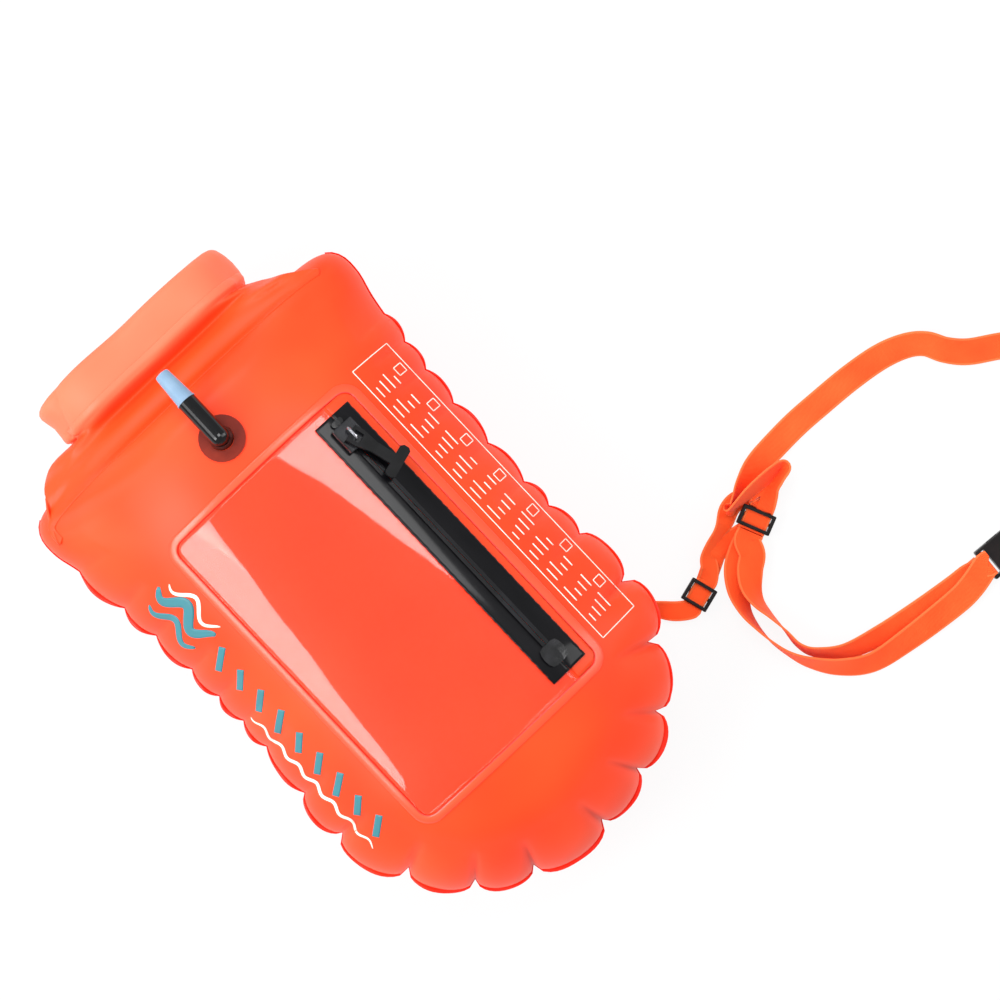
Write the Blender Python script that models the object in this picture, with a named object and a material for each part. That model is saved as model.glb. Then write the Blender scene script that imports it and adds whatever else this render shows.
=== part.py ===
"""Open water swim buoy: inflated dry bag float with a clear pocket, a leash and a waist belt.

Metres, +Z up. The buoy lies on its back and its roll top points to +Y.
"""
import math

import bmesh
import bpy
import numpy as np
from mathutils import Matrix, Vector

# Fits
FIT_GAP = 0.0003
OVERLAY_GAP = 0.0005
CUT_MARGIN = 0.004
MERGE_DISTANCE = 0.000003
SOFT_SHARP_ANGLE = 60

# Air chambers
CHAMBER_HALF_WIDTH = 0.1475
CHAMBER_HALF_LENGTH = 0.244
MID_HEIGHT = 0.0825
FRONT_CROWN = 0.082
BACK_DEPTH = 0.0865
CROWN_HALF_WIDTH = 0.138
SPINE_TOP_SHARE = 0.41
SPINE_BOTTOM_SHARE = -0.512
SKIN_THICKNESS = 0.0008
INNER_WALL = 0.0006
EDGE_THICKNESS = 0.0008
LOBE_DEPTH = 0.014
PUCKER_SHARE = 0.09
OUTLINE_SHARES = [
    (0, 0.783), (0.42, 0.783), (0.74, 0.779), (0.90, 0.757), (0.985, 0.713), (1.0, 0.655),
    (0.965, 0.56), (0.93, 0.40), (0.905, 0.245), (0.892, 0.08), (0.885, -0.08), (0.895, -0.24),
    (0.912, -0.39), (0.898, -0.54), (0.787, -0.72), (0.59, -0.877), (0.34, -0.96), (0, -1),
]
PINCH_SHARES = [
    0.157, 0.176, 0.195, 0.219, 0.248, 0.277, 0.296, 0.319, 0.354, 0.390, 0.428, 0.461, 0.495,
    0.540, 0.573, 0.610, 0.651, 0.681, 0.714, 0.733, 0.752, 0.773, 0.800, 0.823, 0.855,
]
LOBE_SHARES = [
    0.26, 0.26, 0.30, 0.36, 0.36, 0.30, 0.34, 0.60, 1.0, 0.86, 0.72, 0.66,
    0.80, 0.66, 0.72, 0.86, 0.56, 0.36, 0.26, 0.26, 0.28, 0.34, 0.30, 0.34,
]
RING_SHARES = [1.0, 0.968, 0.92, 0.85, 0.75, 0.60, 0.43, 0.25, 0.08]
LOBE_SEGMENTS = 4
TOP_EDGE_SEGMENTS = 16
TOP_EDGE_CALM = 5.0
CURVE_STEPS = 24
NORMAL_STEP_SHARE = 0.003
LOBE_POWER = 0.6
FADE_START_SHARE = 0.6
DOME_PLAN_POWER = 2.2
DOME_HEIGHT_POWER = 1.7
PUCKER_CENTRE_SHARE = 0.91
PUCKER_REACH_SHARE = 0.11
SLOPE_STEP_SHARE = 0.004
CAVITY_EDGE_POWER = 6
HOLE_SEGMENTS = 16

# Weld rim
RIM_THICKNESS = 0.0012
RIM_WIDTH_AT_PINCH = 0.0012
RIM_WIDTH_AT_LOBE = 0.0040
RIM_START_SHARE = 0.105

# Transfer port between the chambers
PORT_RADIUS = 0.003
PORT_BORE_RADIUS = 0.0019
PORT_FLANGE_RADIUS = 0.0046
PORT_FLANGE_THICKNESS = 0.0008
PORT_INSET = 0.019
PORT_SEGMENTS = 12

# Neck and roll top
NECK_LENGTH = 0.0158
NECK_THICKNESS = 0.0012
NECK_SHARE = 0.094
ROLL_HALF_SPAN = 0.0765
ROLL_CORNER_RADIUS = 0.035
ROLL_FRONT_HEIGHT = 0.113
ROLL_BACK_RUN = 0.010
ROLL_HEIGHT = 0.038
ROLL_THICKNESS = 0.022
ROLL_LAYER = 0.0012
ROLL_PITCH = 0.0033
ROLL_TURNS = 2.5
STIFFENER_WIDTH = 0.013
STIFFENER_THICKNESS = 0.0012
ROLL_CORNER_STEPS = 6
ROLL_SEGMENTS = 12
ROLL_SQUARENESS = 0.8
ROLL_SHARP_ANGLE = 50
NECK_WRAP = 92
NECK_COLUMNS = 20
NECK_LEVELS = 5

# Pocket window
FILM_X_MIN = -0.078
FILM_X_MAX = 0.085
FILM_Y_MIN = -0.1555
FILM_Y_MAX = 0.1004
FILM_CORNER = 0.008
FILM_THICKNESS = 0.0006
SLIT_WIDTH = 0.002
WELT_WIDTH = 0.0062
WELT_THICKNESS = 0.0016
WELT_SPACING = 0.012
WELT_CORNER_STEPS = 4
FILM_CORNER_SHARE = 0.134
FILM_LEVELS = 20
FILM_COLUMNS = 14

# Zip
ZIP_X = 0.065
ZIP_HALF_WIDTH = 0.015
ZIP_Y_MIN = -0.147
ZIP_Y_MAX = 0.093
TAPE_THICKNESS = 0.001
TAPE_GAP = 0.001
RAIL_WIDTH = 0.0027
RAIL_HEIGHT = 0.0019
SLIDER_Y = 0.074
SLIDER_WIDTH = 0.018
SLIDER_LENGTH = 0.020
SLIDER_HEIGHT = 0.0045
SLIDER_BEVEL = 0.0012
TOP_STOP_LENGTH = 0.0045
TOP_STOP_WIDTH = 0.009
STOP_HEIGHT = 0.0026
DOCK_HALF_LENGTH = 0.008
DOCK_HALF_WIDTH = 0.0085
DOCK_HEIGHT = 0.0024
BRIDGE_RADIUS = 0.0011
BRIDGE_HALF_LENGTH = 0.0045
BRIDGE_HEIGHT = 0.0056
PULL_AXIS_HEIGHT = 0.0027
PULL_THICKNESS = 0.0024
PULL_STEM_WIDTH = 0.013
PULL_STEM_LENGTH = 0.033
PULL_BAR_LENGTH = 0.025
PULL_BAR_WIDTH = 0.008
PULL_CROSS_RADIUS = 0.0012
PULL_WINDOW_WIDTH = 0.0072
PULL_WINDOW_LENGTH = 0.0066
PULL_TURN = 16.0
ZIP_SLOPE = 18.4
TAPE_LEVELS = 20
RAIL_LEVELS = 18
STOP_LEVELS = 6
STOP_END_SHARE = 0.45
STOP_INNER_SHARE = 0.4
STOP_POWER = 0.7
BRIDGE_SEGMENTS = 10
PULL_WAIST_SHARE = 0.62
PULL_WAIST_PLACE_SHARE = 0.55

# Inflation valve
VALVE_Y = 0.133
VALVE_SLOPE = 8.5
VALVE_HOLE_RADIUS = 0.0028
FLANGE_RADIUS = 0.0165
FLANGE_THICKNESS = 0.001
CUP_RADIUS = 0.0084
CUP_HEIGHT = 0.0085
CUP_BORE_RADIUS = 0.0022
TUBE_RADIUS = 0.007
TUBE_LENGTH = 0.033
TUBE_BORE_RADIUS = 0.0045
TUBE_AXIS_HEIGHT = 0.0103
MOUTH_LENGTH = 0.026
MOUTH_TIP_RADIUS = 0.0055
MOUTH_LIP_LENGTH = 0.0012
MOUTH_LIP_RADIUS = 0.0074
SPIGOT_LENGTH = 0.008
MOUTH_BORE_RADIUS = 0.003
PLUG_DISC_RADIUS = 0.004
PLUG_DISC_THICKNESS = 0.0015
PLUG_NECK_RADIUS = 0.0022
PLUG_NECK_LENGTH = 0.0052
PLUG_STEM_RADIUS = 0.0012
PLUG_STEM_LENGTH = 0.016
O_RING_RADIUS = 0.0031
O_RING_WIRE = 0.0006
FLANGE_SEGMENTS = 28
TUBE_SEGMENTS = 24
BORE_SEGMENTS = 20
SMALL_BORE_SEGMENTS = 12
PLUG_SEGMENTS = 16
O_RING_SEGMENTS = 14
O_RING_WIRE_SEGMENTS = 6
SEAT_STEPS = 6
CUP_SHOULDER_SHARE = 0.8

# Webbing, buckles and sliders
BELT_WIDTH = 0.020
BELT_THICKNESS = 0.0015
LEASH_WIDTH = 0.015
LEASH_THICKNESS = 0.0012
WEBBING_SIDE_GAP = 0.0005
BUCKLE_WALL = 0.0024
BUCKLE_THICKNESS = 0.0082
SOCKET_LENGTH = 0.031
SOCKET_SKIN = 0.0016
BAR_THICKNESS = 0.0026
WEB_SLOT = 0.0042
PLUG_BASE_LENGTH = 0.0128
PRONG_THICKNESS = 0.0021
PRONG_LENGTH = 0.0185
PRONG_ROOT_RADIUS = 0.0017
BARB_LENGTH = 0.009
GUIDE_LENGTH = 0.0165
GUIDE_WIDTH = 0.003
ROLL_TAB_LENGTH = 0.012
GLIDE_BAR = 0.0020
GLIDE_END_BAR = 0.0026
GLIDE_SIDE_BAR = 0.0027
GLIDE_CENTRE_BAR = 0.0025
GLIDE_CHANNEL_GAP = 0.0007
BELT_GLIDE_DEPTH = 0.0154
LEASH_GLIDE_DEPTH = 0.018
BELT_GLIDE_HEIGHT = 0.0048
LEASH_GLIDE_HEIGHT = 0.0020
ANCHOR_HALF_LENGTH = 0.017
ANCHOR_HALF_WIDTH = 0.012
ANCHOR_THICKNESS = 0.001
ANCHOR_SEAM_SHARES = (-0.8, 0.1, 1.0)
ANCHOR_TAPER_SHARE = 0.35
ANCHOR_TAPER_POWER = 4
ANCHOR_LEVELS = 8
ANCHOR_COLUMNS = 4
UPRIGHT_LIMIT = 0.25
GLIDE_BEVEL_SHARE = 0.4
SOCKET_BEVEL_SHARE = 0.6
BAR_FLAT_SHARE = 0.65
FOLD_SHARE = 0.6
PRONG_NOSE_SHARE = 0.6
PRONG_STEPS = 6


# Materials
def make_material(name, colour, roughness, metallic=0.0):
    material = bpy.data.materials.get(name) or bpy.data.materials.new(name)
    material.use_nodes = True
    shader = material.node_tree.nodes["Principled BSDF"]
    shader.inputs["Base Color"].default_value = (*colour, 1.0)
    shader.inputs["Roughness"].default_value = roughness
    shader.inputs["Metallic"].default_value = metallic
    material.diffuse_color = (*colour, 1.0)
    return material


def chamber_material():
    return make_material("coated_fabric_orange", (0.93, 0.11, 0.035), 0.35)


def rim_material():
    return make_material("weld_rim_red", (0.75, 0.06, 0.025), 0.4)


def roll_material():
    return make_material("coated_fabric_roll", (0.95, 0.24, 0.12), 0.5)


def stiffener_material():
    return make_material("stiffener_white", (0.75, 0.75, 0.72), 0.5)


def film_material():
    return make_material("clear_film", (0.98, 0.40, 0.36), 0.12)


def welt_material():
    return make_material("window_weld", (0.97, 0.30, 0.20), 0.3)


def zip_tape_material():
    return make_material("zip_tape_black", (0.015, 0.014, 0.016), 0.3)


def zip_profile_material():
    return make_material("zip_profile_black", (0.03, 0.03, 0.034), 0.25)


def zip_slider_material():
    return make_material("zip_slider_dark", (0.045, 0.04, 0.045), 0.25)


def bridge_material():
    return make_material("bridge_metal", (0.55, 0.55, 0.57), 0.2, 1.0)


def puller_material():
    return make_material("puller_rubber", (0.01, 0.01, 0.012), 0.6)


def flange_material():
    return make_material("valve_flange_red", (0.30, 0.03, 0.012), 0.3)


def cup_material():
    return make_material("valve_socket_brown", (0.06, 0.012, 0.008), 0.3)


def tube_material():
    return make_material("valve_tube_black", (0.01, 0.01, 0.01), 0.18)


def mouthpiece_material():
    return make_material("mouthpiece_blue", (0.48, 0.71, 0.96), 0.35)


def seal_material():
    return make_material("seal_rubber", (0.04, 0.04, 0.04), 0.6)


def webbing_material():
    return make_material("webbing_orange", (1.0, 0.15, 0.04), 0.75)


def buckle_material():
    return make_material("buckle_black", (0.012, 0.012, 0.014), 0.4)


# Mesh helpers
def clear_scene():
    for item in list(bpy.data.objects):
        bpy.data.objects.remove(item, do_unlink=True)


def face_outward(mesh):
    work = bmesh.new()
    work.from_mesh(mesh)
    bmesh.ops.recalc_face_normals(work, faces=work.faces)
    work.to_mesh(mesh)
    work.free()


def finish_mesh(item, material, sharp_angle=35.0):
    mesh = item.data
    face_outward(mesh)
    mesh.materials.clear()
    mesh.materials.append(material)
    mesh.shade_smooth()
    mesh.set_sharp_from_angle(angle=math.radians(sharp_angle))
    return item


def make_object(name, vertices, faces, material=None, sharp_angle=35.0):
    mesh = bpy.data.meshes.new(name)
    mesh.from_pydata([tuple(point) for point in vertices], [], faces)
    mesh.validate()
    face_outward(mesh)
    item = bpy.data.objects.new(name, mesh)
    bpy.context.scene.collection.objects.link(item)
    if material is not None:
        finish_mesh(item, material, sharp_angle)
    return item


def place(item, matrix):
    item.data.transform(matrix)
    return item


def set_origin(item, point):
    item.data.transform(Matrix.Translation(-Vector(point)))
    item.location = point
    return item


def triangulate(item):
    work = bmesh.new()
    work.from_mesh(item.data)
    bmesh.ops.triangulate(work, faces=work.faces)
    bmesh.ops.recalc_face_normals(work, faces=work.faces)
    work.to_mesh(item.data)
    work.free()


def cut(item, cutters):
    triangulate(item)
    for cutter in cutters:
        triangulate(cutter)
        modifier = item.modifiers.new("cut", "BOOLEAN")
        modifier.operation = "DIFFERENCE"
        modifier.solver = "EXACT"
        modifier.object = cutter
    bake_modifiers(item)
    for cutter in cutters:
        bpy.data.objects.remove(cutter, do_unlink=True)
    return item


def bake_modifiers(item):
    bpy.context.view_layer.update()
    evaluated = item.evaluated_get(bpy.context.evaluated_depsgraph_get())
    mesh = bpy.data.meshes.new_from_object(evaluated)
    item.modifiers.clear()
    item.data = mesh
    work = bmesh.new()
    work.from_mesh(mesh)
    bmesh.ops.dissolve_degenerate(work, edges=work.edges, dist=MERGE_DISTANCE)
    work.to_mesh(mesh)
    work.free()


def loft(loops, closed_loop=True, cap_ends=True):
    """Join equal loops of points into one skin; return vertices and faces."""
    vertices = [point for loop in loops for point in loop]
    count = len(loops[0])
    faces = []
    last = count if closed_loop else count - 1
    for level in range(len(loops) - 1):
        base = level * count
        for index in range(last):
            following = (index + 1) % count
            faces.append((base + index, base + following,
                          base + count + following, base + count + index))
    if cap_ends:
        faces.append(tuple(range(count)))
        faces.append(tuple(range((len(loops) - 1) * count, len(loops) * count)))
    return vertices, faces


def ring_loft(loops):
    """Join loops into a skin that closes on itself, like a torus."""
    vertices, faces = loft(loops, cap_ends=False)
    count = len(loops[0])
    base = (len(loops) - 1) * count
    for index in range(count):
        following = (index + 1) % count
        faces.append((base + index, base + following, following, index))
    return vertices, faces


def sheet(rows_top, rows_bottom):
    """Close two equal grids of points into a thin solid."""
    columns = len(rows_top[0])
    levels = len(rows_top)
    vertices = [point for row in rows_top for point in row]
    offset = len(vertices)
    vertices += [point for row in rows_bottom for point in row]
    faces = []
    for level in range(levels - 1):
        for index in range(columns - 1):
            first = level * columns + index
            quad = (first, first + 1, first + columns + 1, first + columns)
            faces.append(quad)
            faces.append(tuple(offset + corner for corner in reversed(quad)))
    border = list(range(columns))
    border += [level * columns + columns - 1 for level in range(1, levels)]
    border += [(levels - 1) * columns + index for index in range(columns - 2, -1, -1)]
    border += [level * columns for level in range(levels - 2, 0, -1)]
    for index, first in enumerate(border):
        second = border[(index + 1) % len(border)]
        faces.append((first, offset + first, offset + second, second))
    return vertices, faces


def circle(radius, segments, start=0.0):
    steps = [start + math.tau * index / segments for index in range(segments)]
    return [(radius * math.cos(step), radius * math.sin(step)) for step in steps]


def turned(name, profile, segments, material=None, closed_profile=False):
    """Turn (radius, height) points about Z; a closed profile leaves a bore."""
    loops = []
    for radius, height in profile:
        loops.append([(x, y, height) for x, y in circle(radius, segments)])
    vertices, faces = ring_loft(loops) if closed_profile else loft(loops)
    return make_object(name, vertices, faces, material)


def box(name, low, high, material=None):
    corners = [(x, y, z) for z in (low[2], high[2])
               for x, y in ((low[0], low[1]), (high[0], low[1]), (high[0], high[1]), (low[0], high[1]))]
    vertices, faces = loft([corners[:4], corners[4:]])
    return make_object(name, vertices, faces, material)


def bevel_edges(item, width, segments=2):
    modifier = item.modifiers.new("bevel", "BEVEL")
    modifier.width = width
    modifier.segments = segments
    modifier.limit_method = "ANGLE"
    bake_modifiers(item)
    return item


# Outline of the inflated bag
def curve_through(points, steps):
    """Closed smooth curve through the points."""
    count = len(points)
    result = []
    for index in range(count):
        before, start, end, after = (np.array(points[(index + k - 1) % count]) for k in range(4))
        for step in range(steps):
            t = step / steps
            result.append(0.5 * (2 * start + (end - before) * t
                                 + (2 * before - 5 * start + 4 * end - after) * t * t
                                 + (3 * start - before - 3 * end + after) * t ** 3))
    return np.array(result)


def base_outline():
    half = [(x * CHAMBER_HALF_WIDTH, y * CHAMBER_HALF_LENGTH) for x, y in OUTLINE_SHARES]
    mirrored = [(-x, y) for x, y in reversed(half[1:-1])]
    return curve_through(half + mirrored, CURVE_STEPS)


OUTLINE = base_outline()
OUTLINE_SPANS = np.linalg.norm(np.roll(OUTLINE, -1, axis=0) - OUTLINE, axis=1)
OUTLINE_LENGTH = OUTLINE_SPANS.sum()
OUTLINE_TRAVEL = np.concatenate([[0.0], np.cumsum(OUTLINE_SPANS)]) / OUTLINE_LENGTH
OUTLINE_CLOSED = np.vstack([OUTLINE, OUTLINE[:1]])
SPINE_TOP = SPINE_TOP_SHARE * CHAMBER_HALF_LENGTH
SPINE_BOTTOM = SPINE_BOTTOM_SHARE * CHAMBER_HALF_LENGTH


def outline_point(share):
    share = share % 1.0
    x = np.interp(share, OUTLINE_TRAVEL, OUTLINE_CLOSED[:, 0])
    y = np.interp(share, OUTLINE_TRAVEL, OUTLINE_CLOSED[:, 1])
    return np.array([x, y])


def outline_normal(share):
    step = NORMAL_STEP_SHARE
    along = outline_point(share + step) - outline_point(share - step)
    along /= np.linalg.norm(along)
    return np.array([-along[1], along[0]])


def lobe_samples():
    """Perimeter samples as (share, lobe depth, roundness 0 at a pinch to 1 on a crest)."""
    samples = []
    for index, depth in enumerate(LOBE_SHARES):
        start = PINCH_SHARES[index]
        end = PINCH_SHARES[index + 1]
        for step in range(LOBE_SEGMENTS):
            part = step / LOBE_SEGMENTS
            bump = max(0.0, 1 - (2 * part - 1) ** 2) ** LOBE_POWER
            samples.append((start + (end - start) * part, depth * LOBE_DEPTH * bump, bump))
    start = PINCH_SHARES[-1]
    end = PINCH_SHARES[0] + 1.0
    for step in range(TOP_EDGE_SEGMENTS):
        part = step / TOP_EDGE_SEGMENTS
        calm = min(1.0, TOP_EDGE_CALM * min(part, 1 - part))
        samples.append((start + (end - start) * part, 0.0, calm))
    return samples


def spine_point(point):
    return np.array([0.0, min(SPINE_TOP, max(SPINE_BOTTOM, point[1]))])


def lobe_fade(share):
    t = min(1.0, max(0.0, (share - FADE_START_SHARE) / (1 - FADE_START_SHARE)))
    return t * t * (3 - 2 * t)


def dome_share(distance, reach):
    """Height share of the dome at a distance from the spine, with the outline at reach."""
    ratio = min(1.0, distance / reach)
    t = min(1.0, max(0.0, (ratio - FADE_START_SHARE) / (1 - FADE_START_SHARE)))
    blend = t * t * (3 - 2 * t)
    level = distance * ((1 - blend) / CROWN_HALF_WIDTH + blend / reach)
    return max(0.0, 1 - min(1.0, level) ** DOME_PLAN_POWER) ** (1 / DOME_HEIGHT_POWER)


def pucker(ratio, roundness):
    """Height factor of the grooves that run in from each pinch."""
    swell = max(0.0, 1 - ((ratio - PUCKER_CENTRE_SHARE) / PUCKER_REACH_SHARE) ** 2)
    return 1 - PUCKER_SHARE * (1 - roundness) * swell


def reach_of(point):
    """Distance from the spine to the base outline through a plan point."""
    foot = spine_point(point)
    away = np.array(point) - foot
    length = np.linalg.norm(away)
    if length == 0:
        return CROWN_HALF_WIDTH
    direction = away / length
    rays = OUTLINE_CLOSED - foot
    side = rays[:, 0] * direction[1] - rays[:, 1] * direction[0]
    ahead = rays @ direction
    best = CROWN_HALF_WIDTH
    for index in np.nonzero(side[:-1] * side[1:] <= 0)[0]:
        span = side[index] - side[index + 1]
        part = side[index] / span if span else 0.0
        hit = ahead[index] + (ahead[index + 1] - ahead[index]) * part
        if hit > 0:
            best = hit
    return best


def dome_at(x, y):
    """Highest height share of the dome at a plan point, its lobes included."""
    point = np.array([x, y])
    distance = np.linalg.norm(point - spine_point(point))
    reach = reach_of(point)
    inward = LOBE_DEPTH * lobe_fade(distance / reach)
    return dome_share(max(0.0, distance - inward), reach)


def front_height(x, y):
    base = MID_HEIGHT + FIT_GAP + EDGE_THICKNESS
    return base + (FRONT_CROWN - EDGE_THICKNESS) * dome_at(x, y)


def back_height(x, y):
    base = MID_HEIGHT - FIT_GAP - EDGE_THICKNESS
    return max(0.0, base - (BACK_DEPTH - EDGE_THICKNESS) * dome_at(x, y))


def dome_loops(samples, shares, crown):
    """Loops of (x, y, height over the mid-plane) from the outline to the spine."""
    loops = []
    for ratio in shares:
        loop = []
        for share, depth, roundness in samples:
            edge = outline_point(share)
            foot = spine_point(edge)
            reach = np.linalg.norm(edge - foot)
            plan = foot + (edge - foot) * ratio + outline_normal(share) * depth * lobe_fade(ratio)
            height = crown * dome_share(reach * ratio, reach) * pucker(ratio, roundness)
            loop.append((plan[0], plan[1], height))
        loops.append(loop)
    return loops


def cavity_loops(crown):
    """Loops of the air space, one skin thickness inside the dome."""
    samples = lobe_samples()[::2]
    loops = []
    for ratio in RING_SHARES:
        loop = []
        for share, depth, roundness in samples:
            edge = outline_point(share)
            foot = spine_point(edge)
            reach = np.linalg.norm(edge - foot)
            step = SLOPE_STEP_SHARE * reach
            distance = reach * ratio
            height = crown * dome_share(distance, reach) * pucker(ratio, roundness)
            nearer = crown * dome_share(distance - step, reach) * pucker(ratio - SLOPE_STEP_SHARE, roundness)
            slope = math.atan2(nearer - height, step)
            inset = SKIN_THICKNESS * (math.sin(slope) + ratio ** CAVITY_EDGE_POWER)
            plan = foot + (edge - foot) * (distance - inset) / reach
            plan = plan + outline_normal(share) * depth * lobe_fade(ratio)
            loop.append((plan[0], plan[1], height - SKIN_THICKNESS * math.cos(slope)))
        loops.append(loop)
    return loops


def chamber(name, crown, side, material):
    """One air chamber: side is 1 for the front, -1 for the back."""
    inner_face = MID_HEIGHT + side * FIT_GAP
    floor = 0.0

    def world(loop, lift, lowest):
        return [(x, y, max(lowest, inner_face + side * (lift + height))) for x, y, height in loop]

    loops = dome_loops(lobe_samples(), RING_SHARES, crown - EDGE_THICKNESS)
    flat = [(x, y, 0.0) for x, y, height in loops[0]]
    skin = [world(flat, 0.0, floor)] + [world(loop, EDGE_THICKNESS, floor) for loop in loops]
    vertices, faces = loft(skin)
    body = make_object(name, vertices, faces)
    hollow = cavity_loops(crown - EDGE_THICKNESS)
    lowest = floor + SKIN_THICKNESS
    base = [(x, y, 0.0) for x, y, height in hollow[0]]
    space = [world(base, INNER_WALL, lowest)]
    space += [world([(x, y, max(height, EDGE_THICKNESS * 0.5)) for x, y, height in loop],
                    EDGE_THICKNESS, lowest) for loop in hollow]
    vertices, faces = loft(space)
    cutters = [make_object(name + "_air", vertices, faces)]
    port_y = -CHAMBER_HALF_LENGTH + PORT_INSET
    reach = side * (EDGE_THICKNESS + INNER_WALL + CUT_MARGIN)
    heights = sorted((inner_face - side * CUT_MARGIN, inner_face + reach))
    port = turned(name + "_port", [(PORT_RADIUS, heights[0]), (PORT_RADIUS, heights[1])], HOLE_SEGMENTS)
    cutters.append(place(port, Matrix.Translation((0, port_y, 0))))
    if side > 0:
        low = front_height(0, VALVE_Y) - SKIN_THICKNESS - CUT_MARGIN
        high = low + SKIN_THICKNESS + CUT_MARGIN + CUT_MARGIN
        hole = turned(name + "_hole", [(VALVE_HOLE_RADIUS, low), (VALVE_HOLE_RADIUS, high)], HOLE_SEGMENTS)
        cutters.append(place(hole, Matrix.Translation((0, VALVE_Y, 0))))
    cut(body, cutters)
    return finish_mesh(body, material)


def weld_rim(material):
    samples = [item for item in lobe_samples()
               if RIM_START_SHARE < item[0] % 1.0 < 1 - RIM_START_SHARE]
    inner = []
    outer = []
    for share, depth, roundness in samples:
        normal = outline_normal(share)
        edge = outline_point(share) + normal * (depth + FIT_GAP)
        lobed = PINCH_SHARES[0] <= share <= PINCH_SHARES[-1]
        width = RIM_WIDTH_AT_PINCH
        if lobed:
            width += (RIM_WIDTH_AT_LOBE - RIM_WIDTH_AT_PINCH) * roundness
        far = edge + normal * width
        inner.append(edge)
        outer.append(far)
    order = sorted(range(len(samples)), key=lambda index: samples[index][0] % 1.0)
    low = MID_HEIGHT - RIM_THICKNESS / 2
    high = MID_HEIGHT + RIM_THICKNESS / 2
    loops = []
    for index in order:
        near = inner[index]
        far = outer[index]
        loops.append([(near[0], near[1], low), (far[0], far[1], low),
                      (far[0], far[1], high), (near[0], near[1], high)])
    vertices, faces = loft(loops)
    return make_object("perimeter_weld_rim", vertices, faces, material)


def transfer_port(material):
    top = MID_HEIGHT + FIT_GAP + INNER_WALL + FIT_GAP
    bottom = MID_HEIGHT - FIT_GAP - INNER_WALL - FIT_GAP
    tube = PORT_RADIUS - FIT_GAP
    profile = [
        (PORT_BORE_RADIUS, bottom - PORT_FLANGE_THICKNESS),
        (PORT_FLANGE_RADIUS, bottom - PORT_FLANGE_THICKNESS),
        (PORT_FLANGE_RADIUS, bottom), (tube, bottom), (tube, top), (PORT_FLANGE_RADIUS, top),
        (PORT_FLANGE_RADIUS, top + PORT_FLANGE_THICKNESS), (PORT_BORE_RADIUS, top + PORT_FLANGE_THICKNESS),
    ]
    ring = turned("transfer_port_ring", profile, PORT_SEGMENTS, material, closed_profile=True)
    return place(ring, Matrix.Translation((0, -CHAMBER_HALF_LENGTH + PORT_INSET, 0)))


# Neck and roll top
ROLL_CENTRE_Y = OUTLINE[:, 1].max() + NECK_LENGTH + ROLL_HEIGHT / 2


def roll_path(half_span, corner, back_run, steps=ROLL_CORNER_STEPS):
    """Points (x, z) and outward normals of the bent roll, from its right end to its left end."""
    straight = half_span - corner
    centre_z = ROLL_FRONT_HEIGHT - ROLL_CORNER_RADIUS
    right = [((straight - back_run, centre_z - corner), (0.0, -1.0))]
    for index in range(steps + 1):
        turn = -math.pi / 2 + math.pi * index / steps
        normal = (math.cos(turn), math.sin(turn))
        right.append(((straight + corner * normal[0], centre_z + corner * normal[1]), normal))
    left = [((-x, z), (-a, b)) for (x, z), (a, b) in reversed(right)]
    return right + left


def swept_on_roll(section, path):
    loops = []
    for (x, z), (a, b) in path:
        loops.append([(x + a * out, ROLL_CENTRE_Y + along, z + b * out) for along, out in section])
    return loops


def spiral_section():
    per_turn = ROLL_SEGMENTS
    count = int(per_turn * ROLL_TURNS)
    outer = []
    inner = []
    for index in range(count + 1):
        turns = index / per_turn
        angle = math.tau * turns + math.pi
        for line, inset in ((outer, 0.0), (inner, ROLL_LAYER)):
            along = ROLL_HEIGHT / 2 - ROLL_PITCH * turns - inset
            out = ROLL_THICKNESS / 2 - ROLL_PITCH * turns - inset
            c = math.cos(angle)
            s = math.sin(angle)
            squared_c = math.copysign(abs(c) ** ROLL_SQUARENESS, c)
            squared_s = math.copysign(abs(s) ** ROLL_SQUARENESS, s)
            line.append((along * squared_c, out * squared_s))
    return outer + inner[::-1]


def roll_top(material):
    path = roll_path(ROLL_HALF_SPAN, ROLL_CORNER_RADIUS, ROLL_BACK_RUN)
    vertices, faces = loft(swept_on_roll(spiral_section(), path))
    return make_object("roll_top", vertices, faces, material, ROLL_SHARP_ANGLE)


def roll_stiffener(material):
    half = STIFFENER_WIDTH / 2
    thick = STIFFENER_THICKNESS / 2
    section = [(-half, -thick), (half, -thick), (half, thick), (-half, thick)]
    path = roll_path(ROLL_HALF_SPAN, ROLL_CORNER_RADIUS, ROLL_BACK_RUN)
    vertices, faces = loft(swept_on_roll(section, path))
    return make_object("roll_stiffener", vertices, faces, material)


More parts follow.
